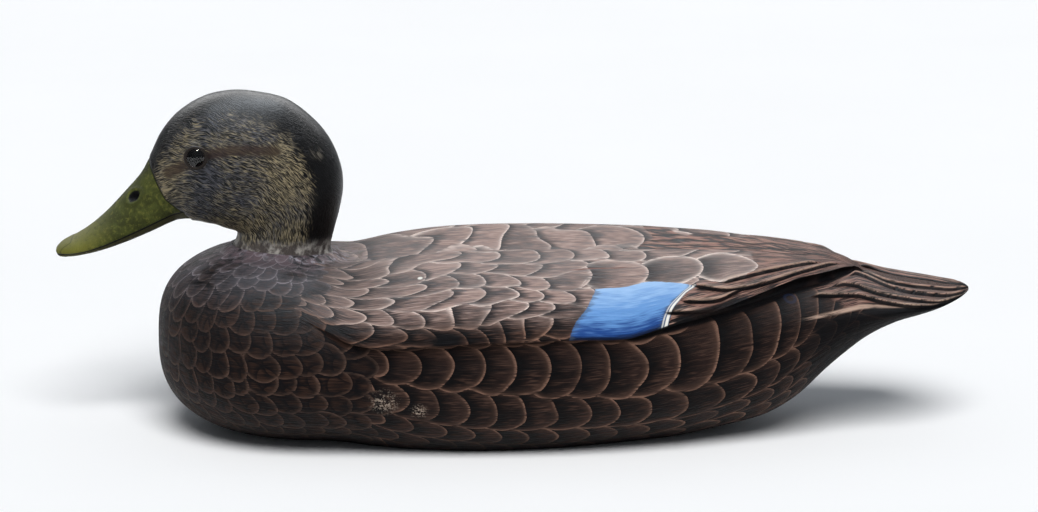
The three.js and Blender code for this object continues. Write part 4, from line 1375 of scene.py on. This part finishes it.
def eyelid(name, side, material):
    lid = eyeShape["lid"]
    bm = bmesh.new()
    bmesh.ops.create_circle(bm, segments=lid["around"], radius=lid["thick"])
    for vert in bm.verts:
        vert.co.x += lid["radius"]
    piece = spunPiece(name, side, bm, headShape["eye"]["cheek"] - lid["sunk"], lid["squash"])
    piece.data.materials.append(material)
    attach(piece, "root")


def makeLidPaint():
    material, board, shader = newMaterial("dark eyelid paint")
    cloud = board.noise(board.place(), 0.8, 2.0, 0.6)
    board.feed(shader.inputs["Base Color"], board.blend(cloud, colour("#0a0909"), colour("#2a221c")))
    shader.inputs["Roughness"].default_value = 0.5
    shader.inputs["Specular IOR Level"].default_value = 0.25
    return material


def makeGlass():
    material, unused, shader = newMaterial("clear eye glass")
    shader.inputs["Base Color"].default_value = (1, 1, 1, 1)
    shader.inputs["Roughness"].default_value = 0.02
    shader.inputs["IOR"].default_value = 1.5
    shader.inputs["Specular IOR Level"].default_value = 0.3
    shader.inputs["Transmission Weight"].default_value = 1
    return material


def makeIris():
    material, board, shader = newMaterial("painted iris and pupil")
    eye = headShape["eye"]
    x, unused, z = board.split(board.place())
    away = board.combine(x - eye["x"], 0.0, z - eye["z"])
    distance = board.vector("LENGTH", away)
    fibres = board.noise(board.vector("NORMALIZE", away), 9.0, 2.0, 0.6)
    iris = board.blend(board.rise(fibres, 0.35, 0.65), colour("#070608"), colour("#1a1210"))
    paint = board.blend(board.fall(distance, *eyeShape["pupil"]), iris, colour("#020202"))
    board.feed(shader.inputs["Base Color"], paint)
    shader.inputs["Roughness"].default_value = 1
    shader.inputs["Specular IOR Level"].default_value = 0
    return material


# Making it all

points, attributes = bodySurface()
body = gridPiece("carved_body", points, attributes)
body.data.materials.append(makeBodyPaint())
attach(body, "root")
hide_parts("body")

points, attributes = headSurface()
head = gridPiece("carved_head", points, attributes)
head.data.materials.append(makeHeadPaint())
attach(head, "root")
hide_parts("head")

glass = makeGlass()
iris = makeIris()
lidPaint = makeLidPaint()
for name, side in (("left", -1), ("right", 1)):
    button = eyePiece("glass_eye_" + name, side, domeProfile(), glass)
    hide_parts("eye_" + name)
    eyePiece("iris_" + name, side, discProfile(), iris)
    eyelid("eyelid_" + name, side, lidPaint)
print("pieces made")


# Floor, light and camera

stageSet = {
    "floorHalf": 5.0,
    "target": (0.0032, 0, 0.084),
    "distance": 1.9,
    "elevation": 12,
    "pictureWidth": 0.506,
    "sensor": 36,
    "skyFront": 0.24,
    "skyBack": 0.38,
    "leftShade": 0.5,
    "key": 3.14,
    "keyFrom": (0.1, -1, 1.25),
    "keyAngle": 35,
    "floorTones": [(0.94, 0.945, 0.955, 1), (0.98, 0.985, 0.99, 1)],
    "skyColour": (0.87, 0.93, 1, 1),
}

# The cards show only as reflections: where they stand and point, their strength, size and colour
stageCards = {
    "high behind": ((0, 1.15, 1.2), (0, 0, 0.1), 50, (2.6, 0.9), (1, 1, 1)),
    "overhead sheen": ((-0.1, 0.1, 1.5), (0, 0, 0.1), 62, (1.4, 0.8), (0.86, 0.93, 1)),
    "glint": ((0.05, -0.72, 1.15), (-0.15, 0, 0.13), 6, (0.3, 0.16), (1, 1, 1)),
}


def makeFloor():
    bm = bmesh.new()
    bmesh.ops.create_grid(bm, x_segments=4, y_segments=4, size=stageSet["floorHalf"])
    mesh = bpy.data.meshes.new("floor")
    bm.to_mesh(mesh)
    bm.free()
    floor = bpy.data.objects.new("floor", mesh)
    bpy.context.scene.collection.objects.link(floor)
    material, board, shader = newMaterial("pale floor")
    tone = board.noise(board.place(), 0.004, 3.0, 0.6)
    board.feed(shader.inputs["Base Color"], board.blend(tone, *stageSet["floorTones"]))
    shader.inputs["Roughness"].default_value = 0.9
    shader.inputs["Specular IOR Level"].default_value = 0
    mesh.materials.append(material)


def aimed(thing, place, target):
    thing.location = place
    thing.rotation_euler = (Vector(target) - Vector(place)).to_track_quat("-Z", "Y").to_euler()


def addLight(name, kind, place, target, energy, **settings):
    lamp = bpy.data.lights.new(name, kind)
    lamp.energy = energy
    for key, value in settings.items():
        setattr(lamp, key, value)
    thing = bpy.data.objects.new(name, lamp)
    bpy.context.scene.collection.objects.link(thing)
    aimed(thing, place, target)
    return thing


makeFloor()
key = addLight("key", "SUN", stageSet["keyFrom"], (0, 0, 0), stageSet["key"],
               angle=math.radians(stageSet["keyAngle"]))
key.visible_glossy = False
for name, (place, target, energy, (wide, high), tone) in stageCards.items():
    card = addLight(name, "AREA", place, target, energy, shape="RECTANGLE", size=wide, size_y=high,
                    color=tone)
    card.visible_diffuse = False
    card.visible_camera = False

# The studio around: a bright sweep behind, darker on the camera's side and at the left
world = bpy.data.worlds.new("studio")
bpy.context.scene.world = world
world.use_nodes = True
sky = Board(world.node_tree)
background = world.node_tree.nodes["Background"]
toRight, toBack, unused = sky.split(sky.wire(sky.node("TexCoord"), "Generated"))
brighter = stageSet["skyBack"] - stageSet["skyFront"]
strength = stageSet["skyFront"] + sky.rise(toBack, -0.1, 0.85) * brighter
strength = strength * (1 - sky.rise(toRight * -1, 0.1, 0.9) * stageSet["leftShade"])
background.inputs["Color"].default_value = stageSet["skyColour"]
sky.feed(background.inputs["Strength"], strength)
bpy.context.scene.view_settings.view_transform = "Standard"

camera = bpy.data.objects.new("camera", bpy.data.cameras.new("camera"))
bpy.context.scene.collection.objects.link(camera)
camera.data.sensor_width = stageSet["sensor"]
camera.data.lens = stageSet["sensor"] * stageSet["distance"] / stageSet["pictureWidth"]
tilt = math.radians(stageSet["elevation"])
target = Vector(stageSet["target"])
aimed(camera, target + stageSet["distance"] * Vector((0, -math.cos(tilt), math.sin(tilt))), target)
bpy.context.scene.camera = camera
print("stage set")
